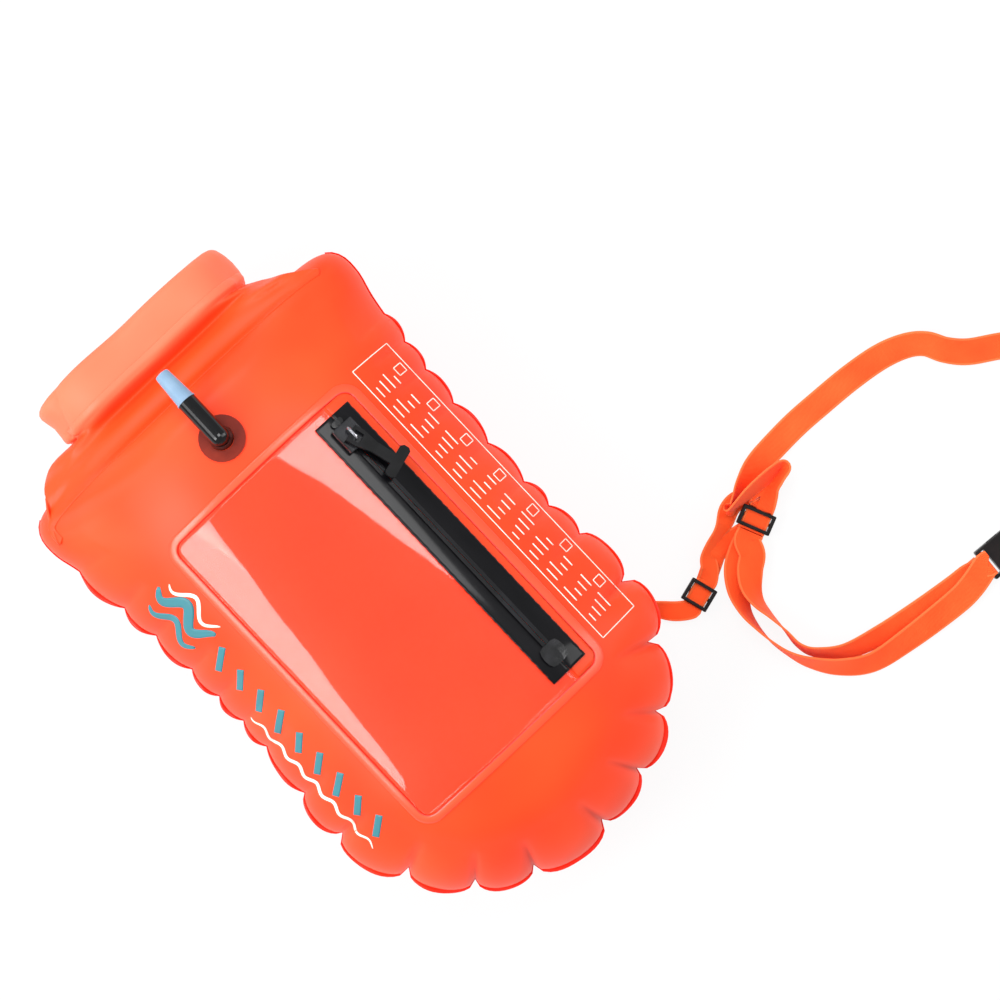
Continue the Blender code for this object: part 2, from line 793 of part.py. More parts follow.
def neck_panel(material):
    """The dry compartment's wall between the chambers' edge and the roll."""
    columns = NECK_COLUMNS
    levels = NECK_LEVELS
    straight = ROLL_HALF_SPAN - ROLL_CORNER_RADIUS
    centre_z = ROLL_FRONT_HEIGHT - ROLL_CORNER_RADIUS
    wrap = math.radians(NECK_WRAP)
    total = straight + wrap * ROLL_CORNER_RADIUS
    top_y = ROLL_CENTRE_Y - ROLL_HEIGHT / 2 - FIT_GAP - NECK_THICKNESS / 2
    grid = []
    for level in range(levels):
        rise = level / (levels - 1)
        ease = rise * rise * (3 - 2 * rise)
        row = []
        for column in range(columns + 1):
            side = 2 * column / columns - 1
            share = side * NECK_SHARE
            low = outline_point(share) + outline_normal(share) * (FIT_GAP + NECK_THICKNESS)
            run = abs(side) * total
            if run <= straight:
                x, z = run, centre_z + ROLL_CORNER_RADIUS
            else:
                turn = (run - straight) / ROLL_CORNER_RADIUS
                x = straight + ROLL_CORNER_RADIUS * math.sin(turn)
                z = centre_z + ROLL_CORNER_RADIUS * math.cos(turn)
            x = math.copysign(x, side)
            row.append(Vector((low[0] + (x - low[0]) * rise, low[1] + (top_y - low[1]) * rise,
                               MID_HEIGHT + (z - MID_HEIGHT) * ease)))
        grid.append(row)
    front = []
    back = []
    for level, row in enumerate(grid):
        front_row = []
        back_row = []
        for column, point in enumerate(row):
            across = row[min(column + 1, columns)] - row[max(column - 1, 0)]
            up = grid[min(level + 1, levels - 1)][column] - grid[max(level - 1, 0)][column]
            normal = across.cross(up).normalized() * (NECK_THICKNESS / 2)
            front_row.append(tuple(point + normal))
            back_row.append(tuple(point - normal))
        front.append(front_row)
        back.append(back_row)
    vertices, faces = sheet(front, back)
    return make_object("neck_panel", vertices, faces, material, SOFT_SHARP_ANGLE)


# Pocket window
def rounded_loop(x_min, x_max, y_min, y_max, corner, spacing=WELT_SPACING, corner_steps=WELT_CORNER_STEPS):
    """Counter-clockwise loop of a rounded rectangle with evenly divided sides."""
    points = []
    centres = [(x_max - corner, y_max - corner, 0), (x_min + corner, y_max - corner, 90),
               (x_min + corner, y_min + corner, 180), (x_max - corner, y_min + corner, 270)]
    columns = max(1, round((FILM_X_MAX - FILM_X_MIN) / spacing))
    levels = max(1, round((FILM_Y_MAX - FILM_Y_MIN) / spacing))
    for index, (x, y, start) in enumerate(centres):
        for step in range(corner_steps + 1):
            turn = math.radians(start + 90 * step / corner_steps)
            points.append((x + corner * math.cos(turn), y + corner * math.sin(turn)))
        next_x, next_y, next_start = centres[(index + 1) % 4]
        turn = math.radians(next_start)
        end = (next_x + corner * math.cos(turn), next_y + corner * math.sin(turn))
        begin = points[-1]
        divisions = columns if index % 2 == 0 else levels
        for step in range(1, divisions):
            part = step / divisions
            points.append((begin[0] + (end[0] - begin[0]) * part, begin[1] + (end[1] - begin[1]) * part))
    return points


def band_on_front(name, inner, outer, low, high, material):
    """Flat band between two plan loops, lying over the front chamber."""
    loops = []
    for near, far in zip(inner, outer):
        loops.append([(near[0], near[1], front_height(*near) + low),
                      (far[0], far[1], front_height(*far) + low),
                      (far[0], far[1], front_height(*far) + high),
                      (near[0], near[1], front_height(*near) + high)])
    vertices, faces = ring_loft(loops)
    return make_object(name, vertices, faces, material)


def strip_rows(x_min, x_max, y_min, y_max, columns, levels):
    rows = []
    for level in range(levels + 1):
        y = y_min + (y_max - y_min) * level / levels
        rows.append([(x_min + (x_max - x_min) * column / columns, y) for column in range(columns + 1)])
    return rows


def strip_on_front(name, rows, low, high, material=None):
    top = [[(x, y, front_height(x, y) + high) for x, y in row] for row in rows]
    bottom = [[(x, y, front_height(x, y) + low) for x, y in row] for row in rows]
    vertices, faces = sheet(top, bottom)
    return make_object(name, vertices, faces, material)


def film_rows():
    """Rows of the film, drawn in at the rounded corners."""
    insets = [(0.0, 1.0), (FILM_CORNER_SHARE, 0.5), (0.5, FILM_CORNER_SHARE), (1.0, 0.0)]
    ends = [(depth * FILM_CORNER, inset * FILM_CORNER) for depth, inset in insets]
    levels = FILM_LEVELS
    rows = [(FILM_Y_MIN + depth, inset) for depth, inset in ends]
    low = FILM_Y_MIN + FILM_CORNER
    high = FILM_Y_MAX - FILM_CORNER
    rows += [(low + (high - low) * index / levels, 0.0) for index in range(1, levels)]
    rows += [(FILM_Y_MAX - depth, inset) for depth, inset in reversed(ends)]
    columns = FILM_COLUMNS
    grid = []
    for y, inset in rows:
        left = FILM_X_MIN + inset
        right = FILM_X_MAX - inset
        grid.append([(left + (right - left) * column / columns, y) for column in range(columns + 1)])
    return grid


def window_film(material):
    film = strip_on_front("phone_window_film", film_rows(), OVERLAY_GAP, OVERLAY_GAP + FILM_THICKNESS)
    half = SLIT_WIDTH / 2
    margin = DOCK_HALF_LENGTH + DOCK_HALF_LENGTH
    slit = box("slit", (ZIP_X - half, ZIP_Y_MIN + margin, MID_HEIGHT),
               (ZIP_X + half, ZIP_Y_MAX - TOP_STOP_LENGTH, MID_HEIGHT + FRONT_CROWN + CUT_MARGIN))
    cut(film, [slit])
    return finish_mesh(film, material)


def window_welt(material):
    gap = FIT_GAP
    inner = rounded_loop(FILM_X_MIN - gap, FILM_X_MAX + gap, FILM_Y_MIN - gap, FILM_Y_MAX + gap,
                         FILM_CORNER + gap)
    wide = gap + WELT_WIDTH
    outer = rounded_loop(FILM_X_MIN - wide, FILM_X_MAX + wide, FILM_Y_MIN - wide, FILM_Y_MAX + wide,
                         FILM_CORNER + wide)
    top = OVERLAY_GAP + WELT_THICKNESS
    return band_on_front("window_frame_welt", inner, outer, OVERLAY_GAP, top, material)


# Zip
TAPE_LOW = OVERLAY_GAP + FILM_THICKNESS + OVERLAY_GAP
TAPE_TOP = TAPE_LOW + TAPE_THICKNESS
RAIL_LOW = TAPE_TOP + FIT_GAP
RAIL_TOP = RAIL_LOW + RAIL_HEIGHT
DOCK_Y = ZIP_Y_MIN + DOCK_HALF_LENGTH + DOCK_HALF_LENGTH
RAIL_Y_MIN = DOCK_Y + DOCK_HALF_LENGTH + FIT_GAP
TOP_STOP_Y = SLIDER_Y + SLIDER_LENGTH / 2 + FIT_GAP + TOP_STOP_LENGTH / 2


def zip_tape(name, side, material):
    near = ZIP_X + side * TAPE_GAP / 2
    far = ZIP_X + side * ZIP_HALF_WIDTH
    rows = strip_rows(min(near, far), max(near, far), ZIP_Y_MIN, ZIP_Y_MAX, 2, TAPE_LEVELS)
    return strip_on_front(name, rows, TAPE_LOW, TAPE_TOP, material)


def zip_rail(name, side, material):
    near = ZIP_X + side * FIT_GAP / 2
    far = near + side * RAIL_WIDTH
    y_max = SLIDER_Y + SLIDER_LENGTH / 2
    rows = strip_rows(min(near, far), max(near, far), RAIL_Y_MIN, y_max, 1, RAIL_LEVELS)
    return strip_on_front(name, rows, RAIL_LOW, RAIL_TOP, material)


def zip_stop(name, y, half_length, half_width, height, material):
    spacing = STOP_LEVELS
    rows = []
    for level in range(spacing + 1):
        turn = math.pi * level / spacing
        part = -math.cos(turn)
        width = half_width * (STOP_END_SHARE + (1 - STOP_END_SHARE) * math.sin(turn) ** STOP_POWER)
        sides = (-1, -STOP_INNER_SHARE, STOP_INNER_SHARE, 1)
        rows.append([(ZIP_X + width * side, y + half_length * part) for side in sides])
    return strip_on_front(name, rows, RAIL_LOW, RAIL_LOW + height, material)


def zip_frame():
    """Slider's own axes: X across the zip, Y along it, Z off the surface, level with the rails' top."""
    top = Vector((ZIP_X, SLIDER_Y, front_height(ZIP_X, SLIDER_Y) + RAIL_TOP))
    lean = Matrix.Rotation(math.radians(ZIP_SLOPE), 4, "Y")
    return Matrix.Translation(top) @ lean @ Matrix.Translation((0, 0, -RAIL_TOP))


SLIDER_BASE = RAIL_LOW + OVERLAY_GAP
SLIDER_TOP = RAIL_TOP + SLIDER_HEIGHT
PULL_AXIS = SLIDER_TOP + PULL_AXIS_HEIGHT


def zip_slider(material):
    body = box("zip_slider", (-SLIDER_WIDTH / 2, -SLIDER_LENGTH / 2, SLIDER_BASE),
               (SLIDER_WIDTH / 2, SLIDER_LENGTH / 2, SLIDER_TOP))
    bevel_edges(body, SLIDER_BEVEL)
    half = RAIL_WIDTH + OVERLAY_GAP + OVERLAY_GAP + OVERLAY_GAP
    channel = box("channel", (-half, -SLIDER_LENGTH, SLIDER_BASE - CUT_MARGIN),
                  (half, SLIDER_LENGTH, RAIL_TOP + OVERLAY_GAP + OVERLAY_GAP))
    cut(body, [channel])
    place(body, zip_frame())
    finish_mesh(body, material)
    return set_origin(body, zip_frame() @ Vector((0, 0, SLIDER_BASE)))


def zip_bridge(material):
    """Arched rod on the slider, in the plane along the zip."""
    foot = SLIDER_TOP + FIT_GAP
    top = SLIDER_TOP + BRIDGE_HEIGHT
    bend = BRIDGE_RADIUS + BRIDGE_RADIUS
    path = [(-BRIDGE_HALF_LENGTH, foot), (-BRIDGE_HALF_LENGTH, top - bend)]
    for step in range(1, 4):
        turn = math.pi - math.pi / 2 * step / 3
        path.append((-BRIDGE_HALF_LENGTH + bend + bend * math.cos(turn),
                     top - bend + bend * math.sin(turn)))
    path += [(-y, z) for y, z in reversed(path)]
    loops = []
    for index, (y, z) in enumerate(path):
        before = path[max(0, index - 1)]
        after = path[min(len(path) - 1, index + 1)]
        along = Vector((0, after[0] - before[0], after[1] - before[1])).normalized()
        out = Vector((0, -along.z, along.y))
        loops.append([tuple(Vector((0, y, z)) + out * a + Vector((b, 0, 0)))
                      for a, b in circle(BRIDGE_RADIUS, BRIDGE_SEGMENTS)])
    vertices, faces = loft(loops)
    bridge = make_object("zip_pull_bridge", vertices, faces)
    place(bridge, zip_frame())
    return finish_mesh(bridge, material)


def zip_puller(material):
    """Rubber T: a cross bar under the bridge, a stem and a grip bar."""
    half = PULL_STEM_WIDTH / 2
    thick = PULL_THICKNESS / 2
    grip = PULL_BAR_LENGTH / 2
    end = -PULL_STEM_LENGTH
    start = PULL_CROSS_RADIUS
    corner = PULL_BAR_WIDTH / 4
    waist = half * PULL_WAIST_SHARE
    outline = [
        (half, start), (half, start - PULL_WINDOW_LENGTH - PULL_CROSS_RADIUS),
        (waist, end * PULL_WAIST_PLACE_SHARE),
        (waist, end), (grip - corner, end), (grip, end - corner),
        (grip, end - PULL_BAR_WIDTH + corner), (grip - corner, end - PULL_BAR_WIDTH),
    ]
    outline += [(-x, y) for x, y in reversed(outline)]
    loops = [[(x, y, z) for x, y in outline] for z in (-thick, thick)]
    vertices, faces = loft(loops)
    puller = make_object("zip_puller", vertices, faces)
    width = PULL_WINDOW_WIDTH / 2
    window = box("window", (-width, -PULL_CROSS_RADIUS - PULL_WINDOW_LENGTH, -CUT_MARGIN),
                 (width, -PULL_CROSS_RADIUS, CUT_MARGIN))
    cut(puller, [window])
    turn = Matrix.Translation((0, 0, PULL_AXIS)) @ Matrix.Rotation(math.radians(PULL_TURN), 4, "Z")
    place(puller, zip_frame() @ turn)
    finish_mesh(puller, material)
    return set_origin(puller, zip_frame() @ Vector((0, 0, PULL_AXIS)))


# Inflation valve
def valve_frame():
    """Z off the surface at the valve, X along the tube."""
    base = Matrix.Translation((0, VALVE_Y, front_height(0, VALVE_Y)))
    lean = Matrix.Rotation(math.radians(-VALVE_SLOPE), 4, "X")
    return base @ lean @ Matrix.Rotation(math.pi / 2, 4, "Z")


def tube_frame():
    """Origin at the ball's centre, Z along the tube, Y off the surface."""
    axes = Matrix(((0, 0, 1, 0), (1, 0, 0, 0), (0, 1, 0, 0), (0, 0, 0, 1)))
    return valve_frame() @ Matrix.Translation((0, 0, TUBE_AXIS_HEIGHT)) @ axes


def valve_flange(material):
    segments = FLANGE_SEGMENTS
    hole = CUP_RADIUS + FIT_GAP
    radii = [hole, (hole + FLANGE_RADIUS) / 2, FLANGE_RADIUS]
    loops = []
    for height, line in ((OVERLAY_GAP, radii), (OVERLAY_GAP + FLANGE_THICKNESS, radii[::-1])):
        for radius in line:
            loop = []
            for x, y in circle(radius, segments):
                loop.append((x, VALVE_Y + y, front_height(x, VALVE_Y + y) + height))
            loops.append(loop)
    vertices, faces = ring_loft(loops)
    return make_object("valve_flange", vertices, faces, material)


def valve_cup(material):
    segments = TUBE_SEGMENTS
    cup = turned("valve_socket", [
        (CUP_RADIUS, OVERLAY_GAP), (CUP_RADIUS, CUP_HEIGHT * CUP_SHOULDER_SHARE),
        (CUP_RADIUS - BRIDGE_RADIUS, CUP_HEIGHT)], segments)
    clear = TUBE_RADIUS + FIT_GAP
    seat = []
    steps = SEAT_STEPS
    for step in range(steps):
        turn = math.pi / 2 * (1 - step / steps)
        seat.append((clear * math.cos(turn) + MERGE_DISTANCE, -clear * math.sin(turn)))
    seat.append((clear, 0.0))
    seat.append((clear, TUBE_LENGTH))
    capsule = turned("capsule", seat, segments)
    place(capsule, valve_frame().inverted() @ tube_frame())
    bore = turned("bore", [(CUP_BORE_RADIUS, -CUT_MARGIN), (CUP_BORE_RADIUS, CUP_HEIGHT)],
                  SMALL_BORE_SEGMENTS)
    cut(cup, [capsule, bore])
    place(cup, valve_frame())
    return finish_mesh(cup, material)


def valve_tube(material):
    segments = TUBE_SEGMENTS
    steps = SEAT_STEPS
    profile = []
    for step in range(steps):
        turn = math.pi / 2 * (1 - step / steps)
        profile.append((TUBE_RADIUS * math.cos(turn) + MERGE_DISTANCE, -TUBE_RADIUS * math.sin(turn)))
    profile.append((TUBE_RADIUS, 0.0))
    profile.append((TUBE_RADIUS, TUBE_LENGTH))
    tube = turned("valve_tube", profile, segments)
    bore = turned("bore", [(TUBE_BORE_RADIUS, 0.0), (TUBE_BORE_RADIUS, TUBE_LENGTH + CUT_MARGIN)],
                  BORE_SEGMENTS)
    down = turned("down", [(CUP_BORE_RADIUS, 0.0), (CUP_BORE_RADIUS, TUBE_RADIUS + CUT_MARGIN)],
                  SMALL_BORE_SEGMENTS)
    place(down, Matrix.Translation((0, 0, CUP_BORE_RADIUS)) @ Matrix.Rotation(math.pi / 2, 4, "X"))
    cut(tube, [bore, down])
    place(tube, tube_frame())
    finish_mesh(tube, material)
    return set_origin(tube, tube_frame() @ Vector((0, 0, 0)))


def mouthpiece(material):
    base = TUBE_LENGTH + FIT_GAP
    tip = base + MOUTH_LENGTH
    foot = base - SPIGOT_LENGTH
    spigot = TUBE_BORE_RADIUS - FIT_GAP
    profile = [
        (MOUTH_BORE_RADIUS, foot), (spigot, foot), (spigot, base), (MOUTH_LIP_RADIUS, base),
        (MOUTH_LIP_RADIUS, base + MOUTH_LIP_LENGTH), (TUBE_RADIUS, base + MOUTH_LIP_LENGTH),
        (MOUTH_TIP_RADIUS, tip - MOUTH_LIP_LENGTH), (MOUTH_TIP_RADIUS - FIT_GAP, tip),
        (MOUTH_BORE_RADIUS, tip),
    ]
    piece = turned("valve_mouthpiece", profile, TUBE_SEGMENTS, material, closed_profile=True)
    place(piece, tube_frame())
    return set_origin(piece, tube_frame() @ Vector((0, 0, base)))


O_RING_HEIGHT = TUBE_LENGTH + FIT_GAP - SPIGOT_LENGTH - FIT_GAP - O_RING_WIRE


def valve_plug(material):
    disc_top = O_RING_HEIGHT - O_RING_WIRE - FIT_GAP
    neck_top = disc_top + PLUG_NECK_LENGTH
    profile = [
        (PLUG_DISC_RADIUS, disc_top - PLUG_DISC_THICKNESS), (PLUG_DISC_RADIUS, disc_top),
        (PLUG_NECK_RADIUS, disc_top), (PLUG_NECK_RADIUS, neck_top),
        (PLUG_STEM_RADIUS, neck_top), (PLUG_STEM_RADIUS, neck_top + PLUG_STEM_LENGTH),
    ]
    plug = turned("valve_plug", profile, PLUG_SEGMENTS, material)
    place(plug, tube_frame())
    return set_origin(plug, tube_frame() @ Vector((0, 0, disc_top)))


def o_ring(material):
    section = [(O_RING_RADIUS + a, O_RING_HEIGHT + b) for a, b in circle(O_RING_WIRE, O_RING_WIRE_SEGMENTS)]
    ring = turned("valve_o_ring", section, O_RING_SEGMENTS, material, closed_profile=True)
    return place(ring, tube_frame())


# Webbing
def smooth_line(points, steps):
    """Open smooth line through rows of numbers."""
    rows = [np.array(point, dtype=float) for point in points]
    rows = [2 * rows[0] - rows[1]] + rows + [2 * rows[-1] - rows[-2]]
    result = []
    for index in range(len(rows) - 3):
        before, start, end, after = rows[index:index + 4]
        for step in range(steps):
            t = step / steps
            result.append(0.5 * (2 * start + (end - before) * t
                                 + (2 * before - 5 * start + 4 * end - after) * t * t
                                 + (3 * start - before - 3 * end + after) * t ** 3))
    result.append(rows[-2])
    return result


def ribbon(name, points, width, thickness, material, steps=2):
    """Flat strap through (x, y, z, lean) rows; lean 0 lies flat, 90 stands on edge."""
    line = smooth_line(points, steps)
    loops = []
    side = None
    for index, row in enumerate(line):
        before = line[max(0, index - 1)]
        after = line[min(len(line) - 1, index + 1)]
        along = Vector(after[:3] - before[:3]).normalized()
        level = Vector((-along.y, along.x, 0))
        if level.length < UPRIGHT_LIMIT and side is not None:
            level = side.copy()
        level.normalize()
        if side is not None and level.dot(side) < 0:
            level = -level
        side = level
        up = along.cross(level).normalized()
        lean = math.radians(row[3])
        across = level * math.cos(lean) + up * math.sin(lean)
        through = along.cross(across).normalized()
        centre = Vector(row[:3])
        loops.append([tuple(centre + across * (a * width / 2) + through * (b * thickness / 2))
                      for a, b in ((-1, -1), (1, -1), (1, 1), (-1, 1))])
    vertices, faces = loft(loops)
    return make_object(name, vertices, faces, material, SOFT_SHARP_ANGLE)


def tri_glide(name, web_width, web_thickness, depth, height, matrix, material):
    """Slider: two upper side bars and a lower centre bar between end bars; X is the strap's way."""
    clear = web_width / 2 + WEBBING_SIDE_GAP
    wide = clear + GLIDE_END_BAR
    half = depth / 2
    lower = height + GLIDE_BAR
    upper = lower + web_thickness + GLIDE_CHANNEL_GAP
    top = upper + GLIDE_BAR
    body = box(name, (-half, -wide, height), (half, wide, top))
    bevel_edges(body, GLIDE_BAR * GLIDE_BEVEL_SHARE)
    far = half + CUT_MARGIN
    window = half - GLIDE_SIDE_BAR
    centre = GLIDE_CENTRE_BAR / 2
    cutters = [
        box("channel", (-far, -clear, lower), (far, clear, upper)),
        box("window", (-window, -clear, (lower + upper) / 2), (window, clear, top + CUT_MARGIN)),
        box("front", (centre, -clear, height - CUT_MARGIN), (far, clear, (lower + upper) / 2)),
        box("rear", (-far, -clear, height - CUT_MARGIN), (-centre, clear, (lower + upper) / 2)),
    ]
    cut(body, cutters)
    place(body, matrix)
    return finish_mesh(body, material)


# Side-release buckles: X from the socket's bar to the plug's bar, Z through the thickness
def buckle_half_width(web_width):
    return web_width / 2 + WEBBING_SIDE_GAP + BUCKLE_WALL


def bar_cutters(web_width, low, high):
    """Cutters of one webbing slot between low and high, and of the steps over its bar."""
    clear = web_width / 2 + WEBBING_SIDE_GAP
    thick = BUCKLE_THICKNESS
    flat = BAR_THICKNESS * BAR_FLAT_SHARE
    slot = box("slot", (low, -clear, -thick), (high, clear, thick))
    outer = -SOCKET_LENGTH - CUT_MARGIN if low < 0 else PLUG_BASE_LENGTH + CUT_MARGIN
    near = (low + high) / 2
    span = sorted((outer, near))
    over = box("over", (span[0], -clear, flat), (span[1], clear, thick))
    under = box("under", (span[0], -clear, -thick), (span[1], clear, -flat))
    return [slot, over, under]


def window_span():
    return -PRONG_LENGTH - FIT_GAP - FIT_GAP, -PRONG_LENGTH + BARB_LENGTH + FIT_GAP


def buckle_socket(name, web_width, matrix, material):
    wide = buckle_half_width(web_width)
    thick = BUCKLE_THICKNESS / 2
    body = box(name, (-SOCKET_LENGTH, -wide, -thick), (0, wide, thick))
    bevel_edges(body, SOCKET_SKIN * SOCKET_BEVEL_SHARE)
    inside = thick - SOCKET_SKIN
    slot_low = -SOCKET_LENGTH + BAR_THICKNESS
    slot_high = slot_low + WEB_SLOT
    back = slot_high + SOCKET_SKIN
    start, end = window_span()
    cutters = bar_cutters(web_width, slot_low, slot_high)
    cavity = box("cavity", (back, -wide + BUCKLE_WALL, -inside), (CUT_MARGIN, wide - BUCKLE_WALL, inside))
    cutters.append(cavity)
    cutters.append(box("windows", (start, -wide - CUT_MARGIN, -inside), (end, wide + CUT_MARGIN, inside)))
    cut(body, cutters)
    place(body, matrix)
    return finish_mesh(body, material)


def prong_root(web_width):
    outer = buckle_half_width(web_width) - BUCKLE_WALL - FIT_GAP - FIT_GAP
    return FIT_GAP + PRONG_ROOT_RADIUS + FIT_GAP, outer - PRONG_THICKNESS / 2


def buckle_plug(name, web_width, matrix, material):
    """Base with its webbing bar, the centre guide and the two notches that hold the prongs."""
    wide = buckle_half_width(web_width)
    thick = BUCKLE_THICKNESS / 2 - SOCKET_SKIN - FIT_GAP
    root_x, root_y = prong_root(web_width)
    notch = PRONG_ROOT_RADIUS + FIT_GAP
    guide = GUIDE_WIDTH / 2
    half = [(PLUG_BASE_LENGTH, 0.0), (PLUG_BASE_LENGTH, wide), (FIT_GAP, wide), (FIT_GAP, root_y + notch)]
    for step in range(PRONG_STEPS + 1):
        turn = math.pi / 2 - math.pi * step / PRONG_STEPS
        half.append((root_x + notch * math.cos(turn), root_y + notch * math.sin(turn)))
    half += [(FIT_GAP, root_y - notch), (FIT_GAP, guide), (-GUIDE_LENGTH + guide, guide),
             (-GUIDE_LENGTH, guide / 2), (-GUIDE_LENGTH, 0.0)]
    outline = half[1:-1] + [(x, -y) for x, y in reversed(half[1:-1])]
    loops = [[(x, y, z) for x, y in outline] for z in (-thick, thick)]
    vertices, faces = loft(loops)
    body = make_object(name, vertices, faces)
    slot_high = PLUG_BASE_LENGTH - BAR_THICKNESS
    cut(body, bar_cutters(web_width, slot_high - WEB_SLOT, slot_high))
    place(body, matrix)
    return finish_mesh(body, material)


def buckle_prong(name, web_width, side, matrix, material):
    wide = buckle_half_width(web_width)
    thick = BUCKLE_THICKNESS / 2 - SOCKET_SKIN - FIT_GAP - FIT_GAP
    root_x, root_y = prong_root(web_width)
    outer = root_y + PRONG_THICKNESS / 2
    inner = root_y - PRONG_THICKNESS / 2
    tip = -PRONG_LENGTH
    catch = tip + BARB_LENGTH
    nose = PRONG_THICKNESS * PRONG_NOSE_SHARE
    outline = []
    for step in range(PRONG_STEPS + 1):
        turn = -math.pi / 2 + math.pi * step / PRONG_STEPS
        outline.append((root_x + PRONG_ROOT_RADIUS * math.cos(turn),
                        root_y + PRONG_ROOT_RADIUS * math.sin(turn)))
    outline += [(root_x - PRONG_ROOT_RADIUS, outer), (catch, outer), (catch, wide - FIT_GAP),
                (tip + nose, wide - FIT_GAP), (tip, outer), (tip, inner + nose / 2), (tip + nose, inner),
                (root_x - PRONG_ROOT_RADIUS, inner)]
    if side < 0:
        outline = [(x, -y) for x, y in reversed(outline)]
    loops = [[(x, y, z) for x, y in outline] for z in (-thick, thick)]
    vertices, faces = loft(loops)
    prong = make_object(name, vertices, faces)
    place(prong, matrix)
    finish_mesh(prong, material)
    return set_origin(prong, matrix @ Vector((root_x, side * root_y, 0)))


def side_release_buckle(prefix, web_width, matrix, material):
    buckle_socket(prefix + "_buckle_socket", web_width, matrix, material)
    buckle_plug(prefix + "_buckle_plug", web_width, matrix, material)
    buckle_prong(prefix + "_buckle_prong_left", web_width, 1, matrix, material)
    buckle_prong(prefix + "_buckle_prong_right", web_width, -1, matrix, material)


def bar_wrap(bar_end, side, web_thickness):
    """(x, z) way round a bar from above: side is -1 at the socket's bar, 1 at the plug's."""
    height = BAR_THICKNESS * BAR_FLAT_SHARE + FIT_GAP + FIT_GAP + web_thickness / 2
    inside = bar_end - side * (BAR_THICKNESS + FIT_GAP + FIT_GAP + web_thickness / 2)
    return [(bar_end, height), (inside + side * web_thickness * FOLD_SHARE, height),
            (inside, height - web_thickness * FOLD_SHARE), (inside, -height + web_thickness * FOLD_SHARE),
            (inside + side * web_thickness * FOLD_SHARE, -height), (bar_end, -height)]


def roll_tab(name, side, matrix, material):
    """Doubled webbing tab from the roll's end to a buckle bar."""
    bar_end = PLUG_BASE_LENGTH if side > 0 else -SOCKET_LENGTH
    reach = ROLL_HALF_SPAN - ROLL_CORNER_RADIUS - ROLL_BACK_RUN - FIT_GAP
    start = side * reach - matrix.translation.x
    middle = (start + bar_end) / 2
    wrap = bar_wrap(bar_end, side, BELT_THICKNESS)
    spread = BELT_THICKNESS / 2 + FIT_GAP
    path = [(start, spread), (middle, spread + FIT_GAP)] + wrap
    path += [(middle, -spread - FIT_GAP), (start, -spread)]
    points = []
    for x, z in path:
        spot = matrix @ Vector((x, 0, z))
        points.append((spot.x, spot.y, spot.z, 0))
    return ribbon(name, points, BELT_WIDTH, BELT_THICKNESS, material)


def roll_buckle_matrix():
    middle = (SOCKET_LENGTH - PLUG_BASE_LENGTH) / 2
    height = ROLL_FRONT_HEIGHT - 2 * ROLL_CORNER_RADIUS
    return Matrix.Translation((middle, ROLL_CENTRE_Y, height))


# Waist belt: positions read along the straps as they lie beside the bag
BELT_GLIDE_CENTRE = (0.2379, -0.1696)
BELT_GLIDE_TURN = 23.2
BELT_BUCKLE_CENTRE = (0.3687, -0.3128)
BELT_BUCKLE_TURN = -3.4
BELT_MAIN_WAY = [
    (0.2600, -0.1590, 0.0096, -45), (0.2690, -0.1568, 0.0118, -82), (0.2762, -0.1555, 0.0122, -90),
    (0.2768, -0.1533, 0.0126, -90), (0.2700, -0.1525, 0.0126, -90), (0.2600, -0.1524, 0.0126, -90),
    (0.2470, -0.1522, 0.0126, -90), (0.2365, -0.1524, 0.0126, -90), (0.2290, -0.1516, 0.0128, -90),
    (0.2286, -0.1494, 0.0128, -90), (0.2373, -0.1470, 0.0126, -108), (0.2487, -0.1440, 0.0115, -135),
    (0.2640, -0.1408, 0.0080, -160), (0.2795, -0.1395, 0.0045, -175), (0.3070, -0.1384, 0.0020, -180),
    (0.3319, -0.1393, 0.0016, -180), (0.3609, -0.1411, 0.0016, -180), (0.3877, -0.1450, 0.0028, -172),
    (0.4068, -0.1518, 0.0050, -160), (0.4186, -0.1609, 0.0060, -155), (0.4263, -0.1743, 0.0050, -162),
    (0.4380, -0.1870, 0.0028, -174), (0.4581, -0.2001, 0.0016, -180), (0.4800, -0.2160, 0.0042, -165),
    (0.4950, -0.2380, 0.0074, -145), (0.5000, -0.2600, 0.0080, -140), (0.4940, -0.2820, 0.0074, -145),
    (0.4770, -0.3010, 0.0042, -165), (0.4500, -0.3120, 0.0020, -180), (0.4200, -0.3155, 0.0035, -180),
    (0.3980, -0.3155, 0.0060, -180),
]
BELT_INNER_WAY = [
    (0.2180, -0.1862, 0.0084, 0), (0.2090, -0.1934, 0.0090, -8), (0.2010, -0.2030, 0.0104, -32),
    (0.1972, -0.2146, 0.0110, -60), (0.1970, -0.2275, 0.0112, -78), (0.1974, -0.2437, 0.0112, -90),
    (0.1972, -0.2583, 0.0112, -98), (0.2028, -0.2708, 0.0108, -112), (0.2191, -0.2855, 0.0096, -130),
    (0.2478, -0.2953, 0.0076, -147), (0.2791, -0.3024, 0.0050, -162), (0.3080, -0.3073, 0.0028, -175),
    (0.3230, -0.3090, 0.0020, -180),
]
BELT_OUTER_WAY = [
    (0.2150, -0.1790, 0.0042, 0), (0.2030, -0.1862, 0.0050, -8), (0.1920, -0.1990, 0.0080, -32),
    (0.1858, -0.2125, 0.0104, -60), (0.1839, -0.2266, 0.0110, -78), (0.1843, -0.2423, 0.0112, -90),
    (0.1876, -0.2578, 0.0112, -98), (0.1947, -0.2735, 0.0106, -114), (0.2080, -0.2908, 0.0098, -130),
    (0.2281, -0.3050, 0.0090, -142), (0.2581, -0.3109, 0.0080, -154), (0.3013, -0.3152, 0.0074, -172),
    (0.3200, -0.3148, 0.0072, -180),
]


def flat_matrix(centre, turn, height=0.0):
    return Matrix.Translation((*centre, height)) @ Matrix.Rotation(math.radians(turn), 4, "Z")


